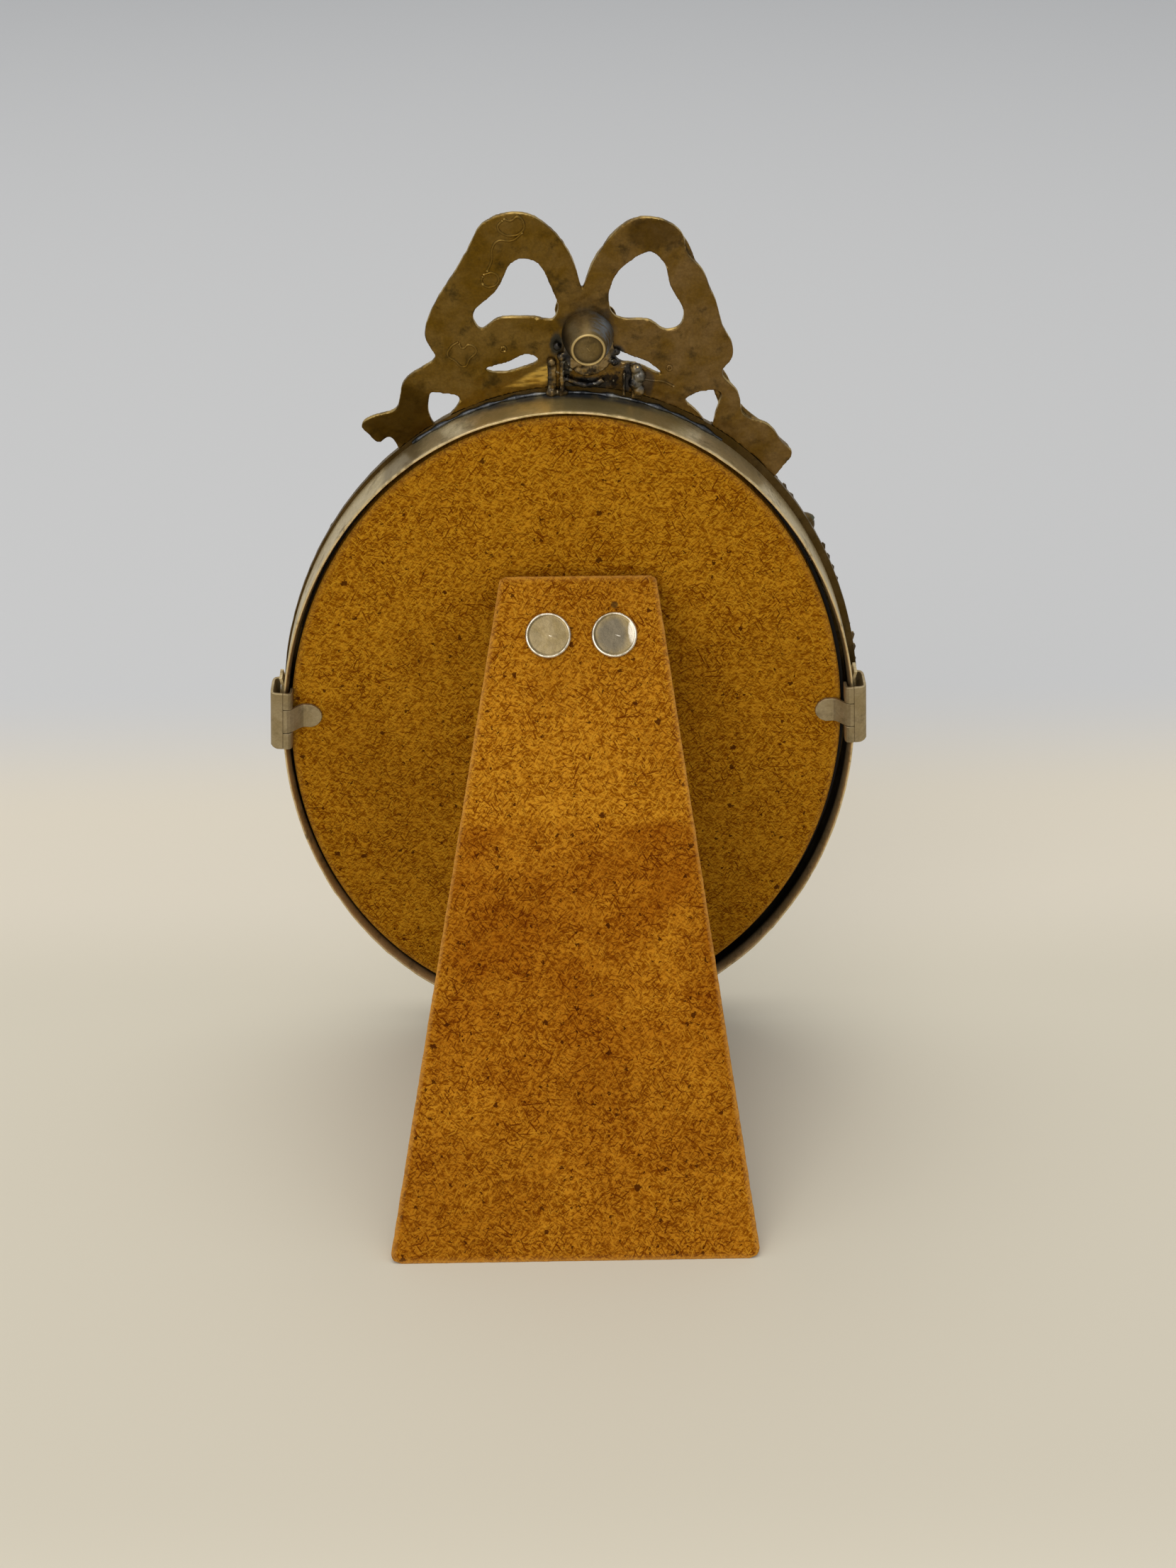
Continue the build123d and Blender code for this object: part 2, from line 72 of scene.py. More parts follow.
def width_of(node):
    """A CAD node's size along X, which the lean doesn't change."""
    low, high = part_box(node)
    return high.x - low.x


def length_setting(name, description, default):
    """One length that a user may change."""
    return bpy.props.FloatProperty(name=name, description=description, default=default, unit="LENGTH")


class FrameSizes(bpy.types.PropertyGroup):
    """Sizes of the frame's pieces that a user would change"""

    band_width: length_setting("Band width", "Outer width of the oval band", 100 * MM)
    band_height: length_setting("Band height", "Outer height of the oval band", 130 * MM)
    band_depth: length_setting("Band depth", "From the band's rear edge to the rim", 6.6 * MM)
    band_wall: length_setting("Band wall", "Thickness of the band's sheet", 0.8 * MM)
    sight_width: length_setting("Sight width", "Width of the front opening", 88 * MM)
    panel_width: length_setting("Panel width", "Width of the hardboard back", width_of("back_panel"))
    panel_back: length_setting("Panel recess", "From the band's rear edge to the panel", 1.9 * MM)
    panel_thickness: length_setting("Panel thickness", "Thickness of the hardboard back", 2.5 * MM)
    leg_top_width: length_setting("Leg top width", "Width of the leg at its top", 26 * MM)
    leg_foot_width: length_setting("Leg foot width", "Width of the leg at its foot", 60.6 * MM)
    leg_thickness: length_setting("Leg thickness", "Thickness of the leg's board", 3 * MM)
    rivet_head: length_setting("Rivet head", "Diameter of the leg's rivet heads", 7.5 * MM)
    bead_count: bpy.props.IntProperty(
        name="Beads", description="Beads round the front rim", default=150, min=8)


def colour_setting(name, description, default):
    """One colour that a user may change."""
    return bpy.props.FloatVectorProperty(
        name=name, description=description, default=default, size=4, min=0, max=1, subtype="COLOR")


class FrameFinishes(bpy.types.PropertyGroup):
    """Colours of the frame's finishes"""

    board: colour_setting("Board", "Hardboard of the panel", (0.338, 0.134, 0.0012, 1))
    leg_board: colour_setting("Leg board", "Hardboard of the leg", (0.375, 0.141, 0.0016, 1))
    patina: colour_setting("Patina", "Aged brass of the bow", (0.125, 0.069, 0.0095, 1))
    rim_patina: colour_setting("Rim patina", "Darker brass of the rim", (0.09, 0.055, 0.013, 1))
    # Gold is also the painted highlight on the sharp edges of the brass.
    gold: colour_setting("Gold", "Brass where it is rubbed bright", (0.78, 0.56, 0.24, 1))
    sheet: colour_setting("Sheet", "Dull sheet brass of the band", (0.6, 0.475, 0.24, 1))
    solder: colour_setting("Solder", "Dark solder and its stain", (0.03, 0.032, 0.036, 1))
    steel: colour_setting("Steel", "Plated steel of the clips", (0.34, 0.262, 0.135, 1))
    rivet: colour_setting("Rivet", "Plated steel of the rivets", (0.21, 0.155, 0.066, 1))
    card: colour_setting("Card", "Bare card behind the glass", (0.72, 0.66, 0.54, 1))
    floor: colour_setting("Floor", "Pale floor", (0.6, 0.555, 0.45, 1))


def sizes():
    """The size settings."""
    return bpy.context.scene.oval_frame_sizes


def finishes():
    """The colour settings."""
    return bpy.context.scene.oval_frame_finishes


def oval_place():
    """From the oval's own axes, with z = 0 at the band's rear edge, to the room."""
    turn = Matrix.Rotation(pi / 2 - LEAN, 4, "X")
    centre = middle_of("rear_band") + REARWARDS * sizes().band_depth / 2
    centre.x = 0
    return Matrix.Translation(centre) @ turn


def leg_place():
    """From the leg's own axes, with its origin on the hinge pin, to the room."""
    turn = Matrix.Rotation(pi / 2 - LEAN + OPEN_ANGLE, 4, "X")
    return Matrix.Translation((0, PIN.y, PIN.z)) @ turn


# Modelling helpers

def mm(*values):
    """Millimetres as a point or a size in metres."""
    return tuple(value * MM for value in values)


def at_level(points, level):
    """Points in millimetres, laid out at one level."""
    return [mm(*point) + (level,) for point in points]


def round_section(radius):
    """The section of a round rod, from its radius in millimetres."""
    return [mm(radius * cos(turn * pi / 4), radius * sin(turn * pi / 4)) for turn in range(8)]


def deselect():
    """Leaves edit mode with nothing selected."""
    if bpy.context.object and bpy.context.object.mode != "OBJECT":
        bpy.ops.object.mode_set(mode="OBJECT")
    bpy.ops.object.select_all(action="DESELECT")


def choose(piece):
    """Makes one piece the only selected and active one."""
    deselect()
    piece.select_set(True)
    bpy.context.view_layer.objects.active = piece


def edit(piece):
    """Opens a piece in edit mode with all of it selected."""
    choose(piece)
    bpy.ops.object.mode_set(mode="EDIT")
    bpy.ops.mesh.select_all(action="SELECT")


def tidy_mesh(piece):
    """Merges doubles and turns the faces outwards."""
    edit(piece)
    bpy.ops.mesh.remove_doubles(threshold=0.001 * MM)
    bpy.ops.mesh.normals_make_consistent(inside=False)
    bpy.ops.object.mode_set(mode="OBJECT")


def modify(piece, kind, **settings):
    """Adds a modifier with these settings and applies it."""
    choose(piece)
    modifier = piece.modifiers.new(kind.title(), kind)
    for name, value in settings.items():
        setattr(modifier, name, value)
    bpy.ops.object.modifier_apply(modifier=modifier.name)


def reshape(piece, rule):
    """Moves every point of a piece to where the rule puts it."""
    for vertex in piece.data.vertices:
        vertex.co = rule(vertex.co)
    piece.data.update()


def weigh(piece, name, rule):
    """A vertex group whose weights the rule gives."""
    group = piece.vertex_groups.new(name=name)
    for vertex in piece.data.vertices:
        group.add([vertex.index], rule(vertex.co), "REPLACE")
    return group.name


def mark(piece, name, rule):
    """A value at each point, which a finish can read."""
    values = [rule(vertex.co) for vertex in piece.data.vertices]
    layer = piece.data.attributes.new(name, "FLOAT", "POINT")
    layer.data.foreach_set("value", values)


def clouds(name, size, depth=2):
    """A cloud texture for dents and waves."""
    texture = bpy.data.textures.new(name, "CLOUDS")
    texture.noise_scale = size
    texture.noise_depth = depth
    return texture


def roughen(piece, name, size, strength, direction="NORMAL", group=""):
    """Dents a piece with a cloud texture."""
    modify(piece, "DISPLACE", texture=clouds(name, size), strength=strength, mid_level=0.5,
           direction=direction, vertex_group=group)


def join(pieces):
    """Joins pieces into the first of them."""
    deselect()
    for piece in pieces:
        piece.select_set(True)
    bpy.context.view_layer.objects.active = pieces[0]
    bpy.ops.object.join()
    return pieces[0]


def remesh(piece, voxel, smoothing=2):
    """Turns joined shapes into one casting."""
    modify(piece, "REMESH", mode="VOXEL", voxel_size=voxel, use_smooth_shade=True)
    modify(piece, "SMOOTH", factor=0.5, iterations=smoothing)


def sweep_oval(steps, count=96, cap=False, centre=(0, 0)):
    """Draws an oval loop by loop. Each step is (half width, half height, level)."""
    deselect()
    half_width, half_height, level = steps[0]
    bpy.ops.mesh.primitive_circle_add(vertices=count, radius=1, fill_type="NOTHING")
    piece = bpy.context.object
    piece.scale = (half_width, half_height, 1)
    piece.location = (centre[0], centre[1], level)
    bpy.ops.object.transform_apply(location=True, rotation=True, scale=True)
    edit(piece)
    for before, after in zip(steps, steps[1:]):
        bpy.ops.mesh.extrude_edges_move(TRANSFORM_OT_translate={"value": (0, 0, after[2] - before[2])})
        bpy.ops.transform.resize(value=(after[0] / before[0], after[1] / before[1], 1),
                                 center_override=(centre[0], centre[1], after[2]))
    if cap:
        bpy.ops.mesh.edge_face_add()
    bpy.ops.object.mode_set(mode="OBJECT")
    return piece


def close_ends(piece):
    """Fills the open loops at a piece's ends."""
    edit(piece)
    bpy.ops.mesh.select_all(action="DESELECT")
    bpy.ops.mesh.select_mode(type="EDGE")
    bpy.ops.mesh.select_non_manifold()
    bpy.ops.mesh.edge_face_add()
    bpy.ops.mesh.select_mode(type="VERT")
    bpy.ops.object.mode_set(mode="OBJECT")
    tidy_mesh(piece)


def ribbon(points, profile, widths=None):
    """A strip along a smooth line in the oval's plane, with the profile as its section."""
    outline = bpy.data.curves.new("ribbon_section", "CURVE")
    outline.dimensions = "2D"
    section = outline.splines.new("POLY")
    section.points.add(len(profile) - 1)
    for point, (across, up) in zip(section.points, profile):
        point.co = (across, up, 0, 1)
    section.use_cyclic_u = True
    shape = bpy.data.objects.new("ribbon_section", outline)
    bpy.context.collection.objects.link(shape)
    line = bpy.data.curves.new("ribbon", "CURVE")
    line.dimensions = "3D"
    line.twist_mode = "Z_UP"
    line.bevel_mode = "OBJECT"
    line.bevel_object = shape
    line.use_fill_caps = True
    line.resolution_u = 10
    run = line.splines.new("BEZIER")
    run.bezier_points.add(len(points) - 1)
    for index, (point, place) in enumerate(zip(run.bezier_points, points)):
        point.co = place
        point.handle_left_type = point.handle_right_type = "AUTO"
        point.radius = widths[index] if widths else 1
    piece = bpy.data.objects.new("ribbon", line)
    bpy.context.collection.objects.link(piece)
    choose(piece)
    bpy.ops.object.convert(target="MESH")
    bpy.data.objects.remove(shape)
    tidy_mesh(piece)
    return piece


def ball(centre, size, segments=16, rings=10, turn=0.0):
    """A lump: a sphere stretched to its three half sizes and turned about z."""
    deselect()
    bpy.ops.mesh.primitive_uv_sphere_add(segments=segments, ring_count=rings, radius=1)
    piece = bpy.context.object
    piece.scale = size
    piece.rotation_euler = (0, 0, turn)
    piece.location = centre
    bpy.ops.object.transform_apply(location=True, rotation=True, scale=True)
    return piece


def bar(low, high, bevel):
    """A bar between two corners, with its edges eased."""
    deselect()
    bpy.ops.mesh.primitive_cube_add(size=1)
    piece = bpy.context.object
    piece.scale = [top - bottom for bottom, top in zip(low, high)]
    piece.location = [(top + bottom) / 2 for bottom, top in zip(low, high)]
    bpy.ops.object.transform_apply(location=True, rotation=True, scale=True)
    modify(piece, "BEVEL", width=bevel, segments=2)
    return piece


def bent_sheet(path, across, thickness, cuts=()):
    """Sheet metal bent along a path of (x, z) points, between two heights, and trimmed by planes."""
    low, high = across
    line = bpy.data.curves.new("bend", "CURVE")
    line.dimensions = "3D"
    run = line.splines.new("POLY")
    run.points.add(len(path) - 1)
    for point, (x, z) in zip(run.points, path):
        point.co = (x, low, z, 1)
    piece = bpy.data.objects.new("bend", line)
    bpy.context.collection.objects.link(piece)
    choose(piece)
    bpy.ops.object.convert(target="MESH")
    edit(piece)
    bpy.ops.mesh.extrude_edges_move(TRANSFORM_OT_translate={"value": (0, high - low, 0)})
    for point, outwards in cuts:
        bpy.ops.mesh.select_all(action="SELECT")
        bpy.ops.mesh.bisect(plane_co=point, plane_no=outwards, clear_outer=True)
    bpy.ops.object.mode_set(mode="OBJECT")
    modify(piece, "SOLIDIFY", thickness=thickness, offset=0, use_even_offset=True)
    tidy_mesh(piece)
    return piece


def node_copy(node):
    """A merged copy of a CAD node's mesh, back in the oval's own axes."""
    mesh = frame["nodes"][node].data.copy()
    piece = bpy.data.objects.new(node, mesh)
    bpy.context.collection.objects.link(piece)
    mesh.transform(oval_place().inverted())
    mesh.materials.clear()
    edit(piece)
    bpy.ops.mesh.customdata_custom_splitnormals_clear()
    bpy.ops.object.mode_set(mode="OBJECT")
    tidy_mesh(piece)
    return piece


def settle(piece, name, body, finish, place, nodes=(), angle=40):
    """Puts a finished piece where it belongs and ties it to the frame."""
    piece.name = name
    piece.data.name = name
    piece.vertex_groups.clear()
    piece.data.materials.clear()
    piece.data.materials.append(finish)
    choose(piece)
    piece.matrix_world = place
    bpy.ops.object.transform_apply(location=True, rotation=True, scale=True)
    bpy.ops.object.shade_smooth_by_angle(angle=radians(angle))
    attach(piece, body)
    if nodes:
        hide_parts(*nodes)


def dress(node, finish):
    """Gives a CAD node that keeps its shape a better finish."""
    mesh = frame["nodes"][node].data
    mesh.materials.clear()
    mesh.materials.append(finish)


# Shading helpers

def add(tree, kind, inputs=None, **settings):
    """Adds a node. An input that is a socket is linked, and anything else is its value."""
    made = tree.nodes.new(kind)
    for name, value in settings.items():
        setattr(made, name, value)
    for name, value in (inputs or {}).items():
        if isinstance(value, bpy.types.NodeSocket):
            tree.links.new(value, made.inputs[name])
        else:
            made.inputs[name].default_value = value
    return made


def calc(tree, operation, first, second=0.0):
    """One sum on two values."""
    return add(tree, "ShaderNodeMath", {0: first, 1: second}, operation=operation).outputs[0]


def times(tree, *values):
    """Values multiplied with each other."""
    product = values[0]
    for value in values[1:]:
        product = calc(tree, "MULTIPLY", product, value)
    return product


def vector_calc(tree, operation, *vectors):
    """One sum on vectors."""
    return add(tree, "ShaderNodeVectorMath", dict(enumerate(vectors)), operation=operation).outputs[0]


def turn_flat(tree, vector, angle):
    """Turns a vector about z."""
    return add(tree, "ShaderNodeVectorRotate", {"Vector": vector, "Angle": angle},
               rotation_type="Z_AXIS").outputs[0]


def axis(tree, vector, index):
    """One part of a vector: 0 is x, 1 is y and 2 is z."""
    return add(tree, "ShaderNodeSeparateXYZ", {0: vector}).outputs[index]


def facing(tree, direction):
    """How far a surface faces a direction, from -1 to 1."""
    normal = tree.nodes.new("ShaderNodeNewGeometry").outputs["Normal"]
    return add(tree, "ShaderNodeVectorMath", {0: normal, 1: tuple(direction)},
               operation="DOT_PRODUCT").outputs["Value"]


def marked(tree, name):
    """A value that mark() has put on the points."""
    return add(tree, "ShaderNodeAttribute", attribute_name=name).outputs["Fac"]


def blend(tree, amount, first, second, mode="MIX"):
    """Mixes two colours."""
    return add(tree, "ShaderNodeMix", {0: amount, 6: first, 7: second}, data_type="RGBA", blend_type=mode,
               clamp_factor=True).outputs[2]


def ramp(tree, value, low, high, to_low=0.0, to_high=1.0):
    """Takes a range of a value, smoothly, to another range."""
    return add(tree, "ShaderNodeMapRange",
               {"Value": value, 1: low, 2: high, 3: to_low, 4: to_high},
               interpolation_type="SMOOTHSTEP").outputs[0]


def noise(tree, vector, scale, detail=2.0, rough=0.5, warp=0.0):
    """A noise value from 0 to 1."""
    return add(tree, "ShaderNodeTexNoise",
               {"Vector": vector, "Scale": scale, "Detail": detail, "Roughness": rough, "Distortion": warp}
               ).outputs["Fac"]


def new_group(name, inputs, outputs):
    """A shader group with named sockets. Returns its tree, what it is given and what it puts out."""
    tree = bpy.data.node_groups.new(name, "ShaderNodeTree")
    for socket, (kind, default) in inputs.items():
        made = tree.interface.new_socket(socket, in_out="INPUT", socket_type=kind)
        if default is not None:
            made.default_value = default
    for socket, kind in outputs.items():
        tree.interface.new_socket(socket, in_out="OUTPUT", socket_type=kind)
    return tree, tree.nodes.new("NodeGroupInput").outputs, tree.nodes.new("NodeGroupOutput").inputs


def use_group(tree, name, inputs):
    """Places a shader group in a material or in another group."""
    return add(tree, "ShaderNodeGroup", inputs, node_tree=bpy.data.node_groups[name])


FLOAT = "NodeSocketFloat"
COLOUR = "NodeSocketColor"
VECTOR = "NodeSocketVector"


def cell_pattern(tree, vector, scale):
    """Scattered cells in a piece's own plane."""
    return add(tree, "ShaderNodeTexVoronoi", {"Vector": vector, "Scale": scale}, voronoi_dimensions="2D")


def make_fibre_group():
    """Fibres that lie mostly across: one to a cell of a cell pattern, through the middle of the cell."""
    tree, given, out = new_group(
        "random_fibres",
        {"Vector": (VECTOR, None), "Shift": (FLOAT, 0.0), "Scale": (FLOAT, 900.0), "Width": (FLOAT, 0.1),
         "Share": (FLOAT, 0.6)},
        {"Mask": FLOAT})
    sway = add(tree, "ShaderNodeTexNoise", {"Vector": given["Vector"], "Scale": 420.0, "Detail": 1.0})
    swayed = vector_calc(tree, "MULTIPLY_ADD", sway.outputs["Color"], (0.0003, 0.0003, 0.0), given["Vector"])
    moved = vector_calc(tree, "ADD", swayed, given["Shift"])
    cells = cell_pattern(tree, moved, given["Scale"])
    chance = add(tree, "ShaderNodeSeparateColor", {"Color": cells.outputs["Color"]}).outputs
    apart = vector_calc(tree, "SUBTRACT", moved, cells.outputs["Position"])
    turned = turn_flat(tree, apart, ramp(tree, chance[0], 0.0, 1.0, -1.2, 1.2))
    along, across = [times(tree, calc(tree, "ABSOLUTE", axis(tree, turned, index)), given["Scale"])
                     for index in (0, 1)]
    narrow = ramp(tree, across, given["Width"], times(tree, given["Width"], 0.4))
    short = ramp(tree, along, 0.6, 0.4)
    chosen = calc(tree, "LESS_THAN", chance[1], given["Share"])
    strength = ramp(tree, chance[2], 0.0, 1.0, 0.5, 1.0)
    tree.links.new(times(tree, narrow, short, times(tree, chosen, strength)), out["Mask"])


def make_speck_group():
    """Scattered specks of bark: a few cells of a cell pattern, each with its own size."""
    tree, given, out = new_group(
        "bark_specks",
        {"Vector": (VECTOR, None), "Scale": (FLOAT, 300.0), "Share": (FLOAT, 0.1), "Size": (FLOAT, 0.25)},
        {"Mask": FLOAT})
    wobble = add(tree, "ShaderNodeTexNoise", {"Vector": given["Vector"], "Scale": 1900.0})
    pushed = vector_calc(tree, "MULTIPLY", wobble.outputs["Color"], (0.0013, 0.0013, 0.0))
    cells = cell_pattern(tree, vector_calc(tree, "ADD", given["Vector"], pushed), given["Scale"])
    chance = add(tree, "ShaderNodeSeparateColor", {"Color": cells.outputs["Color"]}).outputs
    chosen = calc(tree, "LESS_THAN", chance[0], given["Share"])
    reach = times(tree, given["Size"], ramp(tree, chance[1], 0.0, 1.0, 0.35, 1.0))
    inside = ramp(tree, cells.outputs["Distance"], reach, times(tree, reach, 0.7))
    tree.links.new(times(tree, chosen, inside), out["Mask"])


def tinted(tree, colour, factors):
    """A colour with each of its parts scaled."""
    return blend(tree, 1.0, colour, tuple(factors) + (1,), "MULTIPLY")


def make_board_group():
    """Pressed hardboard: felted fibres, pale and dark, specks and soft blotches."""
    tree, given, out = new_group(
        "hardboard",
        {"Vector": (VECTOR, None), "Colour": (COLOUR, (0.3, 0.12, 0.01, 1)), "Blotch": (FLOAT, 0.4),
         "Specks": (FLOAT, 1.0)},
        {"Colour": COLOUR, "Height": FLOAT, "Rough": FLOAT})
    vector = given["Vector"]
    colour = given["Colour"]
    large = ramp(tree, noise(tree, vector, 42.0, 3.0), 0.42, 0.7)
    strands = []
    for angle in (-0.35, 0.8):
        drawn = vector_calc(tree, "MULTIPLY", turn_flat(tree, vector, angle), (0.35, 1.0, 1.0))
        strands.append(times(tree, noise(tree, drawn, 2800.0, 2.0, 0.6), 0.43))
    grain = calc(tree, "ADD", strands[0], strands[1])
    grain = calc(tree, "ADD", grain, times(tree, noise(tree, vector, 650.0, 3.0), 0.14))
    grain = ramp(tree, grain, 0.39, 0.61)
    base = blend(tree, grain, tinted(tree, colour, (0.6, 0.47, 0.05)),
                 tinted(tree, colour, (1.42, 1.58, 8.0)))
    pale = tinted(tree, colour, (1.55, 1.95, 12.0))
    dark = tinted(tree, colour, (0.36, 0.2, 0.05))
    height = times(tree, grain, 0.3)
    dense = ramp(tree, noise(tree, vector, 170.0, 3.0), 0.35, 0.62, 0.5, 1.0)
    layers = (
        (1300.0, 0.15, 0.8, 0.688, pale, 0.6), (1300.0, 0.15, 0.8, 0.013, dark, 0.75),
        (900.0, 0.11, 0.8, 0.759, pale, 0.7), (1100.0, 0.13, 0.7, 0.171, dark, 0.85),
        (850.0, 0.11, 0.6, 0.292, dark, 0.9), (650.0, 0.085, 0.7, 0.417, pale, 0.7),
        (600.0, 0.085, 0.5, 0.479, dark, 0.95), (430.0, 0.06, 0.4, 0.533, dark, 0.95),
        (250.0, 0.035, 0.2, 0.871, dark, 0.95),
    )
    for scale, width, share, shift, tint, amount in layers:
        mask = use_group(tree, "random_fibres", {
            "Vector": vector, "Shift": shift, "Scale": scale, "Width": width, "Share": share}).outputs["Mask"]
        if tint is dark:
            mask = times(tree, mask, dense)
        base = blend(tree, times(tree, mask, amount), base, tint)
        height = calc(tree, "ADD", height, times(tree, mask, 0.22))
    stained = tinted(tree, base, (0.7, 0.64, 0.5))
    base = blend(tree, times(tree, large, given["Blotch"]), base, stained)
    bark = tinted(tree, colour, (0.17, 0.1, 0.4))
    for scale, share, size in ((210.0, 0.16, 0.13), (380.0, 0.2, 0.15), (800.0, 0.2, 0.19)):
        specks = use_group(tree, "bark_specks", {
            "Vector": vector, "Scale": scale, "Share": times(tree, given["Specks"], share),
            "Size": size}).outputs["Mask"]
        base = blend(tree, times(tree, specks, 0.92), base, bark)
        height = calc(tree, "SUBTRACT", height, times(tree, specks, 0.3))
    tree.links.new(base, out["Colour"])
    tree.links.new(height, out["Height"])
    tree.links.new(ramp(tree, grain, 0.0, 1.0, 0.72, 0.86), out["Rough"])


def make_wear_group():
    """Where an edge is worn bright with a painted highlight, and where dirt stays: sharp points and creases,
    broken up by noise.
    """
    tree, given, out = new_group(
        "edge_wear_and_glint",
        {"Vector": (VECTOR, None), "From": (FLOAT, 0.52), "To": (FLOAT, 0.6), "Break": (FLOAT, 900.0)},
        {"RubbedAndGlint": FLOAT, "Crease": FLOAT})
    sharp = tree.nodes.new("ShaderNodeNewGeometry").outputs["Pointiness"]
    mask = ramp(tree, sharp, given["From"], given["To"])
    patchy = ramp(tree, noise(tree, given["Vector"], given["Break"], 3.0), 0.3, 0.6, 0.3, 1.0)
    tree.links.new(times(tree, mask, patchy), out["RubbedAndGlint"])
    tree.links.new(ramp(tree, sharp, 0.492, 0.44), out["Crease"])


def make_patch_group():
    """One oval patch with a soft, ragged edge, in a piece's own axes."""
    tree, given, out = new_group(
        "patch",
        {"Vector": (VECTOR, None), "Centre": (VECTOR, None), "Reach": (VECTOR, None), "Turn": (FLOAT, 0.0),
         "Ragged": (FLOAT, 0.8)},
        {"Mask": FLOAT})
    apart = vector_calc(tree, "SUBTRACT", given["Vector"], given["Centre"])
    scaled = vector_calc(tree, "DIVIDE", turn_flat(tree, apart, given["Turn"]), given["Reach"])
    length = add(tree, "ShaderNodeVectorMath", {0: scaled}, operation="LENGTH").outputs["Value"]
    stray = calc(tree, "SUBTRACT", noise(tree, given["Vector"], 420.0, 4.0, 0.6), 0.5)
    reach = calc(tree, "ADD", length, times(tree, stray, given["Ragged"]))
    tree.links.new(ramp(tree, reach, 1.05, 0.6), out["Mask"])


def make_tarnish_group():
    """Old metal: clouds of two tones, dark stains and fine pits."""
    tree, given, out = new_group(
        "tarnish",
        {"Vector": (VECTOR, None), "Colour": (COLOUR, (0.2, 0.12, 0.03, 1)), "Stain": (COLOUR, (0, 0, 0, 1)),
         "Scale": (FLOAT, 150.0), "Amount": (FLOAT, 0.6), "Shine": (FLOAT, 0.4)},
        {"Colour": COLOUR, "Rough": FLOAT, "Height": FLOAT})
    vector = given["Vector"]
    soft = noise(tree, vector, given["Scale"], 4.0, 0.6, 0.4)
    tone = ramp(tree, soft, 0.3, 0.72)
    fine = noise(tree, vector, 2600.0, 3.0, 0.6)
    light = add(tree, "ShaderNodeHueSaturation",
                {"Saturation": 0.85, "Value": 1.35, "Color": given["Colour"]}).outputs[0]
    colour = blend(tree, tone, given["Colour"], light)
    spread = noise(tree, vector, times(tree, given["Scale"], 1.7), 5.0, 0.65)
    stain = times(tree, ramp(tree, spread, 0.5, 0.72), given["Amount"])
    colour = blend(tree, stain, colour, given["Stain"])
    colour = blend(tree, ramp(tree, fine, 0.35, 0.7, 0.25, 0.0), colour, given["Stain"])
    rough = calc(tree, "ADD", given["Shine"], times(tree, stain, 0.2))
    rough = calc(tree, "ADD", rough, times(tree, fine, 0.12))
    tree.links.new(colour, out["Colour"])
    tree.links.new(rough, out["Rough"])
    tree.links.new(calc(tree, "ADD", times(tree, fine, 0.6), soft), out["Height"])


def make_groups():
    """The effects that several finishes share."""
    if "random_fibres" in bpy.data.node_groups:
        return
    make_fibre_group()
    make_speck_group()
    make_board_group()
    make_wear_group()
    make_patch_group()
    make_tarnish_group()


def new_finish(name):
    """An empty material. Returns it, its tree, its shader and its object coordinates."""
    make_groups()
    finish = bpy.data.materials.new(name)
    finish.use_nodes = True
    tree = finish.node_tree
    shader = tree.nodes["Principled BSDF"]
    return finish, tree, shader, tree.nodes.new("ShaderNodeTexCoord").outputs["Object"]


def lay_flat(tree, vector, place):
    """Object coordinates turned into a piece's own axes."""
    back = place.inverted()
    return add(tree, "ShaderNodeMapping", {
        "Vector": vector, "Location": back.to_translation(), "Rotation": back.to_euler(),
    }).outputs[0]


def bump(tree, shader, height, distance, strength=1.0):
    """Lets a height dent the surface."""
    made = add(tree, "ShaderNodeBump", {"Height": height, "Distance": distance, "Strength": strength})
    tree.links.new(made.outputs[0], shader.inputs["Normal"])


def finish_named(name, maker):
    """The finish of that name, made the first time that it is asked for."""
    return bpy.data.materials.get(name) or maker(name)


def behind(tree, flat, mask):
    """Keeps a mask to the bow's rear face."""
    back = sizes().band_depth
    return times(tree, mask, ramp(tree, axis(tree, flat, 2), back + 1.0 * MM, back + 0.5 * MM))


def patch_mask(tree, flat, centre, reach, turn=0.0):
    """One soft patch, with its centre and its reach in millimetres."""
    return use_group(tree, "patch", {
        "Vector": flat, "Centre": mm(*centre, 0), "Reach": mm(*reach) + (1,), "Turn": turn}).outputs["Mask"]


def paint_patches(tree, flat, tone, patches):
    """Lays patches over a colour. A patch is (centre, reach, turn, colour, amount), in millimetres."""
    for centre, reach, turn, colour, amount in patches:
        mask = patch_mask(tree, flat, centre, reach, turn)
        tone = blend(tree, times(tree, mask, amount), tone, tuple(colour))
    return tone


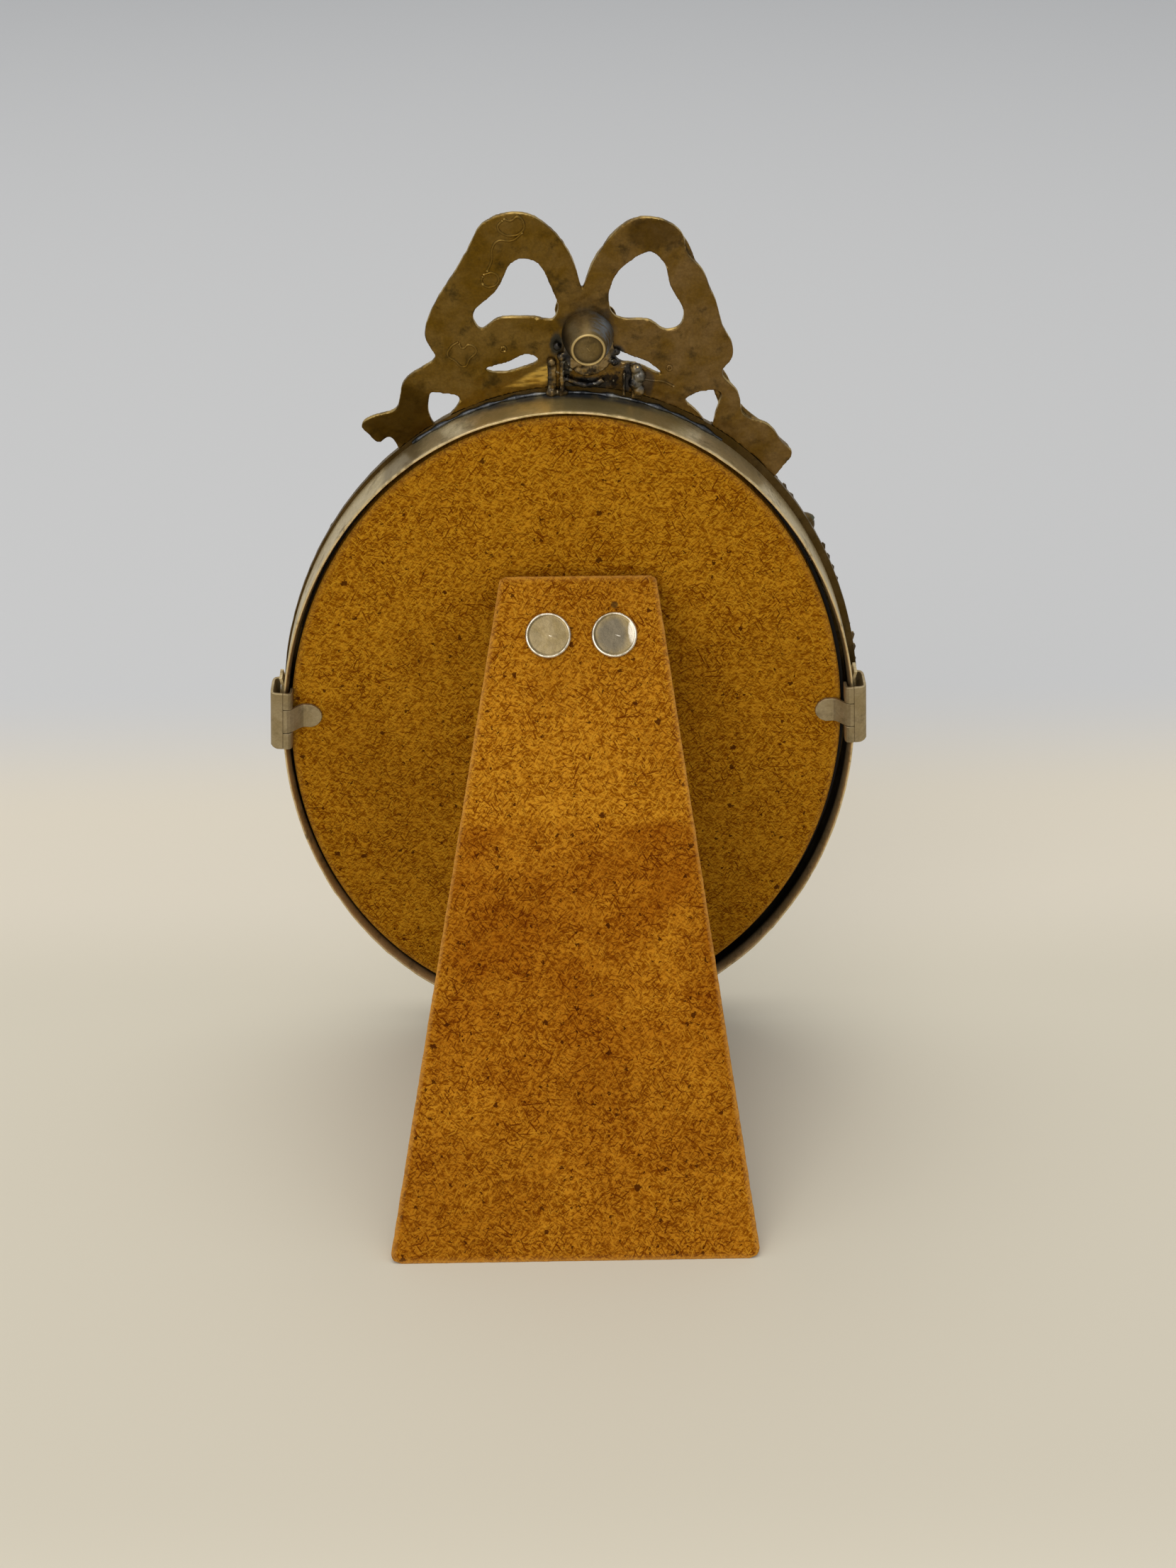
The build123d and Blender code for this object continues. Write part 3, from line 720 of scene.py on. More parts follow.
def board_finish(name, colour, place, blotch, specks, tide=None, patches=()):
    """Hardboard with paler, fuzzy cut edges. A tide is a height below which it is darker."""
    finish, tree, shader, vector = new_finish(name)
    flat = lay_flat(tree, vector, place)
    board = use_group(tree, "hardboard", {
        "Vector": flat, "Colour": tuple(colour), "Blotch": blotch, "Specks": specks})
    tone = board.outputs["Colour"]
    if tide is not None:
        wander = times(tree, noise(tree, flat, 160.0, 3.0), 3 * MM)
        level = calc(tree, "ADD", axis(tree, flat, 1), wander)
        below = times(tree, ramp(tree, level, tide + 2.5 * MM, tide),
                      ramp(tree, level, tide - 62 * MM, tide - 20 * MM, 0.6, 1.0))
        mottled = ramp(tree, noise(tree, flat, 75.0, 4.0, 0.6), 0.32, 0.64, 0.3, 1.0)
        deep = tinted(tree, tone, (0.6, 0.44, 0.25))
        tone = blend(tree, times(tree, below, mottled, 0.85), tone, deep)
    tone = paint_patches(tree, flat, tone, patches)
    edge = marked(tree, "edge")
    fuzz = ramp(tree, noise(tree, flat, 1400.0, 3.0), 0.35, 0.62, 0.55, 0.9)
    cut = tinted(tree, tuple(colour), (1.3, 1.65, 30.0))
    tone = blend(tree, times(tree, edge, fuzz), tone, cut)
    tree.links.new(tone, shader.inputs["Base Color"])
    tree.links.new(board.outputs["Rough"], shader.inputs["Roughness"])
    shader.inputs["Specular IOR Level"].default_value = 0.02
    bump(tree, shader, board.outputs["Height"], 0.12 * MM, 0.6)
    return finish


def metal_finish(name, colour, stain, scale, amount, shine, wear_and_glint=None, patches=(), behind_share=1.0,
                 rear_only=False, metal=1.0, place=None, bright=None):
    """Old metal with stains and patches, and with bright edges, worn metal with a painted highlight, where
    their range is given as (from, to).
    """
    finish, tree, shader, vector = new_finish(name)
    flat = lay_flat(tree, vector, place or oval_place())
    old = use_group(tree, "tarnish", {
        "Vector": vector, "Colour": tuple(colour), "Stain": tuple(stain), "Scale": scale, "Amount": amount,
        "Shine": shine})
    tone = old.outputs["Colour"]
    if patches:
        painted = paint_patches(tree, flat, tone, patches)
        tone = blend(tree, behind(tree, flat, 1.0), tone, painted) if rear_only else painted
    rough = old.outputs["Rough"]
    if wear_and_glint:
        edges = use_group(tree, "edge_wear_and_glint", {"Vector": vector, "From": wear_and_glint[0], "To": wear_and_glint[1]})
        rubbed_and_glint = edges.outputs["RubbedAndGlint"]
        if behind_share < 1:
            rubbed_and_glint = times(tree, rubbed_and_glint, ramp(tree, facing(tree, -REARWARDS), -0.2, 0.5, behind_share, 1.0))
        tone = blend(tree, times(tree, edges.outputs["Crease"], 0.8), tone, tuple(stain))
        # Sharp points take the bright colour: worn metal with a painted highlight.
        tone = blend(tree, rubbed_and_glint, tone, bright or tuple(finishes().gold))
        rough = calc(tree, "SUBTRACT", rough, times(tree, rubbed_and_glint, 0.12))
    tree.links.new(tone, shader.inputs["Base Color"])
    tree.links.new(rough, shader.inputs["Roughness"])
    shader.inputs["Metallic"].default_value = metal
    bump(tree, shader, old.outputs["Height"], 0.05 * MM, 0.5)
    return finish, tree, shader, flat, tone


DARK_PATINA = (0.026, 0.018, 0.008, 1)


def solder_patches():
    """Where solder stains the bow's back and the strap."""
    places = [
        ((-3.3, 66.5), (4.8, 1.5), 0.9), ((0.1, 70.2), (0.8, 4.2), 0.9), ((-8.0, 71.3), (1.5, 2.4), 0.9),
        ((1.6, 73.6), (1.3, 2.6), 0.9), ((-9.7, 67.6), (0.9, 3.4), 0.9), ((-3.3, 76.2), (4.9, 4.9), 0.6),
        ((2.9, 68.4), (0.6, 3.6), 0.7), ((-13.0, 66.6), (1.2, 2.4), 0.6),
    ]
    return [(centre, reach, 0, finishes().solder, amount) for centre, reach, amount in places]


def solder_with_shade_and_glints(tree, flat, tone):
    """Breaks up the strap's surroundings with dark solder and painted crevice shade, and a few painted
    silvery glints.
    """
    region = behind(tree, flat, patch_mask(tree, flat, (-4.2, 68.6), (9.8, 4.6)))
    # Dark solder stain and painted shade in the crevices.
    black = ramp(tree, noise(tree, flat, 480.0, 3.0, 0.6), 0.48, 0.62, 0.0, 0.85)
    tone = blend(tree, times(tree, region, black), tone, (0.007, 0.008, 0.011, 1))
    # Painted glints: a few small silvery highlights.
    painted_glints = ramp(tree, noise(tree, flat, 900.0, 3.0, 0.6), 0.6, 0.72, 0.0, 0.6)
    return blend(tree, times(tree, region, painted_glints), tone, (0.42, 0.4, 0.33, 1))


def patina_finish(name):
    """The bow: olive-brown patina, greyer to the right, with a painted gold highlight on its sides, and gold
    where it is scraped.
    """
    dark = (0.03, 0.015, 0.002, 1)
    patches = solder_patches() + [((28, 61.5), (9, 7), 0, dark, 0.75), ((-13.5, 92), (5, 3), 0, dark, 0.5)]
    finish, tree, shader, flat, tone = metal_finish(
        name, finishes().patina, DARK_PATINA, 190.0, 0.7, 0.36, (0.55, 0.63), patches,
        behind_share=0.45, rear_only=True)
    leftwards = ramp(tree, axis(tree, flat, 0), -14 * MM, 8 * MM)
    tint = blend(tree, leftwards, (1.2, 1.18, 1.22, 1), (1.12, 1.08, 0.75, 1))
    tone = blend(tree, 1.0, tone, tint, "MULTIPLY")
    # Painted highlight: side walls, facing neither front nor back, turn gold, broken up by noise.
    side = ramp(tree, calc(tree, "ABSOLUTE", facing(tree, REARWARDS)), 0.62, 0.3)
    broken = ramp(tree, noise(tree, flat, 330.0, 3.0), 0.36, 0.6, 0.1, 0.85)
    tone = blend(tree, times(tree, side, broken), tone, (0.5, 0.35, 0.12, 1))
    # Dark solder, painted crevice shade and painted glints round the strap.
    tone = solder_with_shade_and_glints(tree, flat, tone)
    scraped = marked(tree, "scraped")
    drawn = vector_calc(tree, "MULTIPLY", flat, (0.25, 1.0, 1.0))
    streaks = ramp(tree, noise(tree, drawn, 1500.0, 3.0), 0.35, 0.62, 0.25, 1.0)
    tone = blend(tree, times(tree, scraped, streaks), tone, (0.56, 0.36, 0.075, 1))
    tree.links.new(tone, shader.inputs["Base Color"])
    return finish


def rim_finish(name):
    """The rim: darker patina, with sharp edges worn bright and given a painted highlight only in front, and a
    spot of verdigris.
    """
    patches = [((-44.0, 42.0), (3.2, 3.2), 0, (0.16, 0.25, 0.2, 1), 0.7)]
    return metal_finish(name, finishes().rim_patina, DARK_PATINA, 170.0, 0.7, 0.36, (0.52, 0.6), patches,
                        behind_share=0.0)[0]


def sheet_finish(name):
    """The band: smudged sheet brass, with a rear edge brightened as worn brass with a painted highlight, and
    an inside darkened with painted shade.
    """
    finish, tree, shader, flat, tone = metal_finish(
        name, finishes().sheet, (0.17, 0.115, 0.045, 1), 130.0, 0.85, 0.33, metal=0.8)
    olive, brown = (0.4, 0.3, 0.1, 1), (0.16, 0.11, 0.045, 1)
    tone = paint_patches(tree, flat, tone, [
        ((-4, 65), (27, 7), 0, olive, 0.65), ((27, 54.5), (5, 4), 0.6, brown, 0.6)])
    near = times(tree, ramp(tree, axis(tree, flat, 2), 3.8 * MM, 5.6 * MM),
                 ramp(tree, axis(tree, flat, 1), 60.5 * MM, 64.0 * MM))
    soot = times(tree, near, ramp(tree, noise(tree, flat, 380.0, 4.0), 0.3, 0.6, 0.35, 1.0))
    tone = blend(tree, soot, tone, (0.075, 0.08, 0.085, 1))
    # The rear edge: worn brass with a painted highlight, broken up by noise.
    edge = marked(tree, "edge")
    broken = ramp(tree, noise(tree, flat, 800.0, 3.0), 0.35, 0.62, 0.15, 1.0)
    tone = blend(tree, times(tree, edge, broken), tone, (0.74, 0.57, 0.3, 1))
    # Painted shade: the inside turns near black deeper into the band.
    inside = marked(tree, "inside")
    tone = blend(tree, inside, tone, (0.01, 0.007, 0.004, 1))
    tree.links.new(tone, shader.inputs["Base Color"])
    return finish


def steel_finish(name):
    """The clips and the hinge: dull plated spring steel."""
    return metal_finish(
        name, finishes().steel, (0.15, 0.11, 0.055, 1), 260.0, 0.45, 0.42, metal=0.85)[0]


def rivet_finish(name):
    """The rivets: pale plating with scuffs and a painted highlight ring on the rims, and the right one dull
    with a painted highlight crescent.
    """
    # A dull patch on the right rivet, and a painted highlight crescent on its rim.
    patches = [((-7.0, -5.4), (3.1, 3.4), 0, (0.135, 0.115, 0.082, 1), 0.85),
               ((-10.5, -4.9), (0.8, 2.6), 0, (0.62, 0.56, 0.45, 1), 0.9)]
    # The bright colour paints a highlight ring on the sharp rims.
    return metal_finish(
        name, finishes().rivet, (0.17, 0.12, 0.06, 1), 330.0, 0.4, 0.3, (0.505, 0.55), patches,
        place=leg_place(), bright=(0.72, 0.66, 0.54, 1))[0]


def solder_finish(name):
    """The strap: browned brass between lumps of dark solder, with a silvery post on the right."""
    patches = solder_patches() + [((-11.4, 68.0), (1.3, 2.6), 0.2, (0.16, 0.16, 0.15, 1), 0.8)]
    finish, tree, shader, flat, tone = metal_finish(
        name, (0.23, 0.15, 0.05, 1), finishes().solder, 420.0, 0.75, 0.3, (0.545, 0.63), patches)
    # Dark solder, painted crevice shade and painted glints round the strap.
    tree.links.new(solder_with_shade_and_glints(tree, flat, tone), shader.inputs["Base Color"])
    return finish


def seam_finish(name):
    """The run of solder along the joint: blue-black with painted grey highlights."""
    painted_grey_glint = (0.3, 0.3, 0.28, 1)
    # Painted grey highlights on the solder.
    patches = [((-8.6, 65.6), (2.6, 2.2), 0, painted_grey_glint, 0.8), ((3.6, 66.2), (2.0, 2.2), 0, painted_grey_glint, 0.8)]
    return metal_finish(
        name, (0.075, 0.08, 0.088, 1), (0.01, 0.011, 0.014, 1), 500.0, 0.9, 0.3, None, patches)[0]


def stud_finish(name):
    """The peg: browned brass with a painted blue-grey sheen on one side, painted shade on the other and a
    painted gold highlight round its end.
    """
    finish, tree, shader, flat, tone = metal_finish(
        name, (0.165, 0.11, 0.034, 1), (0.06, 0.042, 0.02, 1), 300.0, 0.6, 0.48, (0.53, 0.7))
    x, y, z = [axis(tree, flat, index) for index in range(3)]
    body = ramp(tree, z, 1.5 * MM, 1.9 * MM)
    streaks = vector_calc(tree, "MULTIPLY", flat, (1.0, 1.0, 3.0))
    ragged = ramp(tree, noise(tree, streaks, 420.0, 4.0, 0.65), 0.36, 0.6)
    # Painted sheen in blue-grey on one side of the body, and painted shade on the other.
    right = times(tree, ramp(tree, x, -3.0 * MM, -5.8 * MM), ragged)
    left = ramp(tree, calc(tree, "SUBTRACT", x, times(tree, y, 0.5)), -39.5 * MM, -37.0 * MM)
    tone = blend(tree, times(tree, body, right), tone, (0.2, 0.215, 0.225, 1))
    tone = blend(tree, times(tree, body, left, 0.9), tone, (0.02, 0.018, 0.014, 1))
    # Painted highlight: a gold ring round the end.
    tone = blend(tree, ramp(tree, z, 1.24 * MM, 1.1 * MM), tone, (0.55, 0.41, 0.18, 1))
    tree.links.new(tone, shader.inputs["Base Color"])
    return finish


def glass_finish(name):
    """Clear glass."""
    finish, tree, shader, vector = new_finish(name)
    shader.inputs["Base Color"].default_value = (0.97, 0.99, 0.98, 1)
    shader.inputs["Transmission Weight"].default_value = 1.0
    shader.inputs["IOR"].default_value = 1.5
    shader.inputs["Alpha"].default_value = 0.35
    film = ramp(tree, noise(tree, vector, 60.0, 4.0), 0.45, 0.8, 0.015, 0.06)
    tree.links.new(film, shader.inputs["Roughness"])
    return finish


def card_finish(name):
    """Bare card: cream in front, near black behind."""
    finish, tree, shader, vector = new_finish(name)
    in_front = calc(tree, "GREATER_THAN", facing(tree, -REARWARDS), 0.5)
    speckle = ramp(tree, noise(tree, vector, 2400.0, 3.0, 0.7), 0.35, 0.7, 0.0, 0.16)
    cream = tuple(finishes().card)
    cream = blend(tree, speckle, cream, tuple(0.7 * part for part in cream[:3]) + (1,))
    tone = blend(tree, in_front, (0.012, 0.008, 0.005, 1), cream)
    tree.links.new(tone, shader.inputs["Base Color"])
    shader.inputs["Roughness"].default_value = 0.85
    bump(tree, shader, noise(tree, vector, 1800.0, 3.0), 0.04 * MM, 0.5)
    return finish


# Pieces

class FRAME_OT_band(bpy.types.Operator):
    """The oval wall, with its wavy, worn rear edge that carries a painted highlight, and painted shade inside
    """

    bl_idname = "oval_frame.band"
    bl_label = "Band"

    def execute(self, context):
        half_width, half_height = sizes().band_width / 2, sizes().band_height / 2
        depth, wall = sizes().band_depth, sizes().band_wall
        lip = 0.38 * MM
        profile = [
            (0, depth), (0, 4 * MM), (0, 2 * MM), (0, 0.8 * MM), (0, 0.12 * MM), (0.1 * MM, 0),
            (lip - 0.1 * MM, 0), (lip, 0.12 * MM), (lip + 0.05 * MM, 0.9 * MM), (wall, 1.7 * MM),
            (wall, 2.6 * MM), (wall, 4 * MM), (wall, depth), (0, depth),
        ]
        steps = [(half_width - inwards, half_height - inwards, level) for inwards, level in profile]
        band = sweep_oval(steps, 240)
        tidy_mesh(band)
        # The rear edge, which the finish paints bright as worn brass with a painted highlight.
        mark(band, "edge", lambda co: 1.0 if co.z < 0.2 * MM else 0.0)
        # The inside, which the finish darkens deeper in as painted shade.
        mark(band, "inside", lambda co: min(1.0, max(0.0, (co.z - 0.4 * MM) / (2.0 * MM))) * float(
            hypot(co.x / (half_width - lip * 0.9), co.y / (half_height - lip * 0.9)) < 1))
        rear = weigh(band, "rear_edge", lambda co: 1.0 if co.z < 0.3 * MM else 0.1)
        roughen(band, "edge_waves", 2.6 * MM, 0.45 * MM, "Z", rear)
        settle(band, "band", "frame", finish_named("sheet_brass", sheet_finish), oval_place(),
               ["rear_band"])
        return {"FINISHED"}


class FRAME_OT_rim(bpy.types.Operator):
    """The front moulding, with a row of beads, a twisted outer edge and four clasps"""

    bl_idname = "oval_frame.rim"
    bl_label = "Front rim"

    def execute(self, context):
        depth = sizes().band_depth
        half_width = sizes().sight_width / 2
        half_height = half_width + (sizes().band_height - sizes().band_width) / 2
        profile = [
            (0, 0), (0, 0.8), (0.35, 1.15), (0.8, 1.0), (2.1, 1.0), (2.5, 1.6), (2.8, 2.4), (3.5, 3.05),
            (4.3, 3.2), (5.0, 2.9), (5.5, 2.1), (5.75, 1.5), (6.6, 1.55), (7.1, 1.3), (7.25, 0.7), (7.2, 0),
            (0, 0),
        ]
        shift = middle_of("front_rim").x
        moulding = 7.2 * MM
        narrow = (width_of("front_rim") / 2 - half_width) / moulding
        steps = [(half_width + out * narrow * MM, half_height + out * MM, depth + up * MM)
                 for out, up in profile]
        rim = sweep_oval(steps, 240, False, (shift, 0))
        tidy_mesh(rim)
        beads = self.row(sizes().bead_count, half_width, half_height, 1.45, depth + 1.25 * MM,
                         (0.72, 0.72, 0.72), 0)
        twists = self.row(168, half_width, half_height, 6.45, depth + 1.15 * MM, (1.2, 0.62, 0.8), 0.6, True)
        trims = join([beads, twists, self.clasps(half_width, half_height, depth)])
        reshape(trims, lambda co: Vector((co.x + shift - 0.4 * co.x / half_width * MM, co.y, co.z)))
        rim = join([rim, trims])
        roughen(rim, "cast_waves", 2.2 * MM, 0.2 * MM)
        settle(rim, "rim", "frame", finish_named("rim_patina", rim_finish), oval_place(),
               ["front_rim"])
        return {"FINISHED"}

    def row(self, count, half_width, half_height, out, level, size, slant, uneven=False):
        """Small lumps at even steps round the oval. Uneven ones stand out more on the right."""
        first = ball((0, 0, 0), mm(*size), 8, 6)
        lumps = []
        for index in range(count):
            angle = 2 * pi * index / count
            stray = 0.0
            if uneven:
                rightwards = max(0.0, -cos(angle))
                stray = 0.12 * sin(index * 2.3) - 0.35 + rightwards * (0.4 + 0.3 * sin(index * 0.83))
            reach = (out + stray) * MM
            x, y = (half_width + reach) * cos(angle), (half_height + reach) * sin(angle)
            along = atan2((half_height + reach) * cos(angle), -(half_width + reach) * sin(angle))
            lump = bpy.data.objects.new("lump", first.data.copy())
            bpy.context.collection.objects.link(lump)
            lump.data.transform(Matrix.Translation((x, y, level)) @ Matrix.Rotation(along + slant, 4, "Z"))
            lumps.append(lump)
        bpy.data.objects.remove(first)
        return join(lumps)

    def clasps(self, half_width, half_height, depth):
        """Crossed ribbons tied over the moulding at four places."""
        lumps = []
        for turn in (0.65, pi - 0.65, pi + 0.65, -0.65):
            for step, tilt in ((-0.028, 0.5), (0.028, -0.5)):
                reach = 4.7 * MM if cos(turn) < 0 else 3.7 * MM
                x, y = (half_width + reach) * cos(turn + step), (half_height + reach) * sin(turn + step)
                out = atan2(y / half_height, x / half_width)
                lumps.append(ball((x, y, depth + 1.9 * MM), mm(3.6, 1.3, 1.75), 20, 12, out + tilt))
        return join(lumps)


RIBBON_SECTION = [
    (-2.2, -0.8), (-2.1, 0.0), (-1.7, 0.7), (-1.3, 0.72), (-0.8, 0.4), (0, 0.75), (0.8, 0.4), (1.3, 0.72),
    (1.7, 0.7), (2.1, 0.0), (2.2, -0.8),
]
RIBBON_RUNS = {
    "left loop": [(0.4, 78.5), (-0.2, 83), (2.2, 89), (7.2, 92.0), (11.6, 90.3), (14.0, 85.6), (17.3, 80.6),
                  (18.4, 76.6), (15.0, 73.9), (9.0, 74.6), (1.0, 75.4)],
    "left tail": [(1.5, 73.4), (8.0, 74.0), (15.0, 71.4), (20.0, 68.5), (24.2, 66.2), (24.6, 62.0),
                  (28.0, 59.8), (31.8, 58.8)],
    "right loop": [(-5.0, 78.5), (-4.4, 82.5), (-7.0, 88.2), (-11.2, 91.8), (-15.6, 90.6), (-18.4, 85.6),
                   (-21.0, 80.4), (-22.0, 75.4), (-19.5, 72.8), (-13.0, 74.3), (-7.0, 75.4)],
    "right tail": [(-8.0, 73.6), (-14.5, 73.4), (-20.0, 70.6), (-24.3, 66.8), (-26.2, 62.6), (-30.5, 58.0),
                   (-35.4, 53.6)],
    "left fold": [(4.5, 67.9), (10.0, 67.1), (15.5, 66.0), (21.5, 66.8)],
    "right fold": [(-10.5, 68.0), (-15.0, 66.2), (-18.0, 65.6), (-24.0, 66.6)],
}
RIBBON_WIDTHS = {
    "left loop": [0.72, 0.76, 0.95, 1, 1, 1, 1, 1, 0.9, 0.8, 0.8],
    "right loop": [0.72, 0.78, 0.9, 1, 1, 1, 1, 1, 0.9, 0.8, 0.8],
    "left tail": [0.8, 0.8, 0.75, 0.75, 0.7, 0.6, 0.6, 0.5],
    "right tail": [0.8, 0.8, 0.75, 0.72, 0.66, 0.7, 0.7],
    "left fold": [0.4, 0.45, 0.45, 0.4],
    "right fold": [0.4, 0.45, 0.45, 0.4],
}
CASTING_VEINS = [
    [(9.6, 94.5), (8.5, 94.2), (7.4, 94.8), (6.5, 93.7), (6.7, 92.6), (8.0, 91.8), (9.7, 92.1), (10.5, 93.2),
     (9.7, 94.3)],
    [(6.7, 92.3), (8.3, 91.0), (10.6, 90.9), (11.4, 89.8), (11.6, 87.7), (12.3, 86.0)],
    [(12.9, 85.4), (11.4, 85.7), (10.6, 84.9), (10.9, 83.8), (12.4, 83.4), (13.2, 84.3), (13.0, 85.2)],
    [(17.2, 74.1), (18.4, 73.2), (18.9, 71.8), (17.9, 70.9), (16.4, 69.8), (15.5, 71.1), (14.4, 72.7),
     (15.5, 73.6), (16.6, 73.0), (17.1, 73.9)],
    [(10.4, 73.1), (9.8, 73.1), (9.8, 72.5), (10.4, 72.5), (10.4, 73.0)],
    [(-16.1, 69.7), (-16.7, 69.5), (-16.6, 68.9), (-16.1, 69.0), (-16.1, 69.6)],
    [(-11.5, 67.6), (-13.6, 67.1), (-15.4, 66.9), (-17.2, 66.0)],
]


class FRAME_OT_bow(bpy.types.Operator):
    """The cast ribbon bow: flat behind, with a folded ribbon in front"""

    bl_idname = "oval_frame.bow"
    bl_label = "Bow"

    def execute(self, context):
        back = sizes().band_depth
        edge, front = 1.0 * MM, back + 1.45 * MM
        plate = node_copy("bow_crest")
        reshape(plate, lambda co: Vector((co.x, co.y, min(co.z, back + edge))))
        parts = [plate]
        section = [mm(*point) for point in RIBBON_SECTION]
        for name, run in RIBBON_RUNS.items():
            parts.append(ribbon(at_level(run, front), section, RIBBON_WIDTHS[name]))
        bow = join(parts)
        remesh(bow, 0.22 * MM, 1)
        roughen(bow, "cast_skin", 2.6 * MM, 0.34 * MM)
        roughen(bow, "cast_grain", 0.9 * MM, 0.07 * MM)
        vein = round_section(0.23)
        bow = join([bow] + [ribbon(at_level(run, back + 0.02 * MM), vein) for run in CASTING_VEINS])
        corners = [Vector(mm(*corner)) for corner in ((9.9, 66.1), (1.9, 70.9), (2.3, 66.9))]

        def scraped(co):
            """One inside the scraped triangle behind the left fold."""
            inside = 1.0
            for start, end in zip(corners, corners[1:] + corners[:1]):
                along = (end - start).normalized()
                apart = along.cross(Vector((co.x, co.y)) - start)
                inside = min(inside, 0.5 + apart / (0.5 * MM))
            return max(0.0, inside) if co.z < back + 0.5 * MM else 0.0

        mark(bow, "scraped", scraped)
        settle(bow, "bow", "frame", finish_named("patina", patina_finish), oval_place(),
               ["bow_crest"], 60)
        return {"FINISHED"}


class FRAME_OT_knot(bpy.types.Operator):
    """The knot in front of the bow: three folds of ribbon side by side"""

    bl_idname = "oval_frame.knot"
    bl_label = "Knot"

    def execute(self, context):
        centre = oval_place().inverted() @ middle_of("crest_knot")
        base = sizes().band_depth + 2 * MM
        folds = []
        for step, size, tilt in (
                (-2.9, (1.9, 4.0, 2.3), 0.12), (0, (2.0, 4.4, 2.95), 0), (2.9, (1.9, 4.0, 2.3), -0.12)):
            fold = ball((centre.x + step * MM, centre.y, base), mm(*size), 32, 20, tilt)
            edit(fold)
            bpy.ops.mesh.bisect(plane_co=(0, 0, base), plane_no=(0, 0, -1), use_fill=True, clear_outer=True)
            bpy.ops.object.mode_set(mode="OBJECT")
            folds.append(fold)
        knot = join(folds)
        remesh(knot, 0.2 * MM, 2)
        settle(knot, "knot", "frame", finish_named("patina", patina_finish), oval_place(),
               ["crest_knot"], 60)
        return {"FINISHED"}


class FRAME_OT_stud(bpy.types.Operator):
    """The peg behind the knot, with a rolled rim round its end that carries a painted highlight"""

    bl_idname = "oval_frame.stud"
    bl_label = "Stud"

    def execute(self, context):
        flat = oval_place().inverted() @ middle_of("crest_knot")
        back = sizes().band_depth
        profile = [
            (4.15, -0.2), (4.1, 0.5), (3.95, 1.3), (3.75, 2.2), (3.5, 3.2), (3.25, 4.1), (3.0, 4.8),
            (2.82, 5.2), (2.7, 5.45), (2.54, 5.58), (2.4, 5.56), (2.28, 5.4), (2.2, 5.22), (1.6, 5.22),
            (1.1, 5.22), (0.6, 5.22), (0.2, 5.22), (0.04, 5.22),
        ]
        steps = [(wide * MM, wide * MM, back - out * MM) for wide, out in profile]
        stud = sweep_oval(steps, 64, True, (flat.x, flat.y))
        close_ends(stud)
        body = weigh(stud, "body", lambda co: min(1.0, max(0.0, (co.z - back + 5.1 * MM) / (1.5 * MM))))
        roughen(stud, "stud_dents", 1.6 * MM, 0.3 * MM, "NORMAL", body)
        settle(stud, "stud", "frame", finish_named("stud_brass", stud_finish), oval_place(),
               ["crest_stud"])
        return {"FINISHED"}


class FRAME_OT_bracket(bpy.types.Operator):
    """The strap behind the bow, and the solder that runs along the joint"""

    bl_idname = "oval_frame.bracket"
    bl_label = "Bracket and solder"

    def execute(self, context):
        back = sizes().band_depth
        half_width, half_height = sizes().band_width / 2, sizes().band_height / 2
        parts = []
        for low, high, deep in (((1.7, 64.7), (3.1, 70.6), 0.8), ((0.4, 64.7), (1.2, 71.4), 1.0),
                                ((-9.4, 64.6), (-8.9, 68.8), 0.7), ((-12.0, 64.2), (-10.3, 69.4), 0.8)):
            parts.append(bar(mm(*low) + (back - deep * MM,), mm(*high) + (back,), 0.2 * MM))
        saddle = [(-0.5, 74.2), (-0.6, 72.2), (-1.3, 70.4), (-3.3, 69.4), (-5.4, 70.3), (-6.3, 72.2),
                  (-6.4, 74.2)]
        strip = [mm(-1.0, -0.4), mm(1.0, -0.4), mm(1.0, 0.4), mm(-1.0, 0.4)]
        parts.append(ribbon(at_level(saddle, back - 0.4 * MM), strip))
        rod = round_section(0.55)
        puddle = [(0.2, 67.9), (-1.0, 67.2), (-2.3, 66.8), (-3.5, 66.7), (-4.7, 66.9), (-5.8, 67.6)]
        parts.append(ribbon(at_level(puddle, back - 0.35 * MM), rod))
        lumps = [(-11.5, 65.6, 1.1), (-10.9, 66.8, 1.1), (-11.6, 68.1, 1.1), (-11.0, 69.4, 1.0),
                 (0.8, 71.6, 0.8), (2.4, 70.6, 0.8), (0.7, 65.4, 0.9), (2.4, 65.3, 1.0), (-7.6, 70.6, 0.7),
                 (-7.9, 72.4, 0.6), (1.5, 73.4, 0.7)]
        for x, y, size in lumps:
            parts.append(ball(mm(x, y) + (back - 0.4 * MM,), mm(size, size, 0.8 * size), 14, 8))
        strap = join(parts)
        remesh(strap, 0.16 * MM, 1)
        roughen(strap, "strap_lumps", 0.8 * MM, 0.34 * MM)
        settle(strap, "strap", "frame", finish_named("solder", solder_finish), oval_place(),
               ["crest_bracket"], 60)
        line = []
        for step in range(-24, 25):
            x = step * 1.05 * MM
            line.append((x, half_height * sqrt(1 - (x / half_width) ** 2) + 0.2 * MM, back - 0.1 * MM))
        widths = [0.6 + 0.3 * sin(step * 1.7) + 0.2 * cos(step * 0.9) for step in range(-24, 25)]
        seam = ribbon(line, rod, widths)
        settle(seam, "solder_seam", "frame", finish_named("seam_solder", seam_finish),
               oval_place(), (), 60)
        return {"FINISHED"}


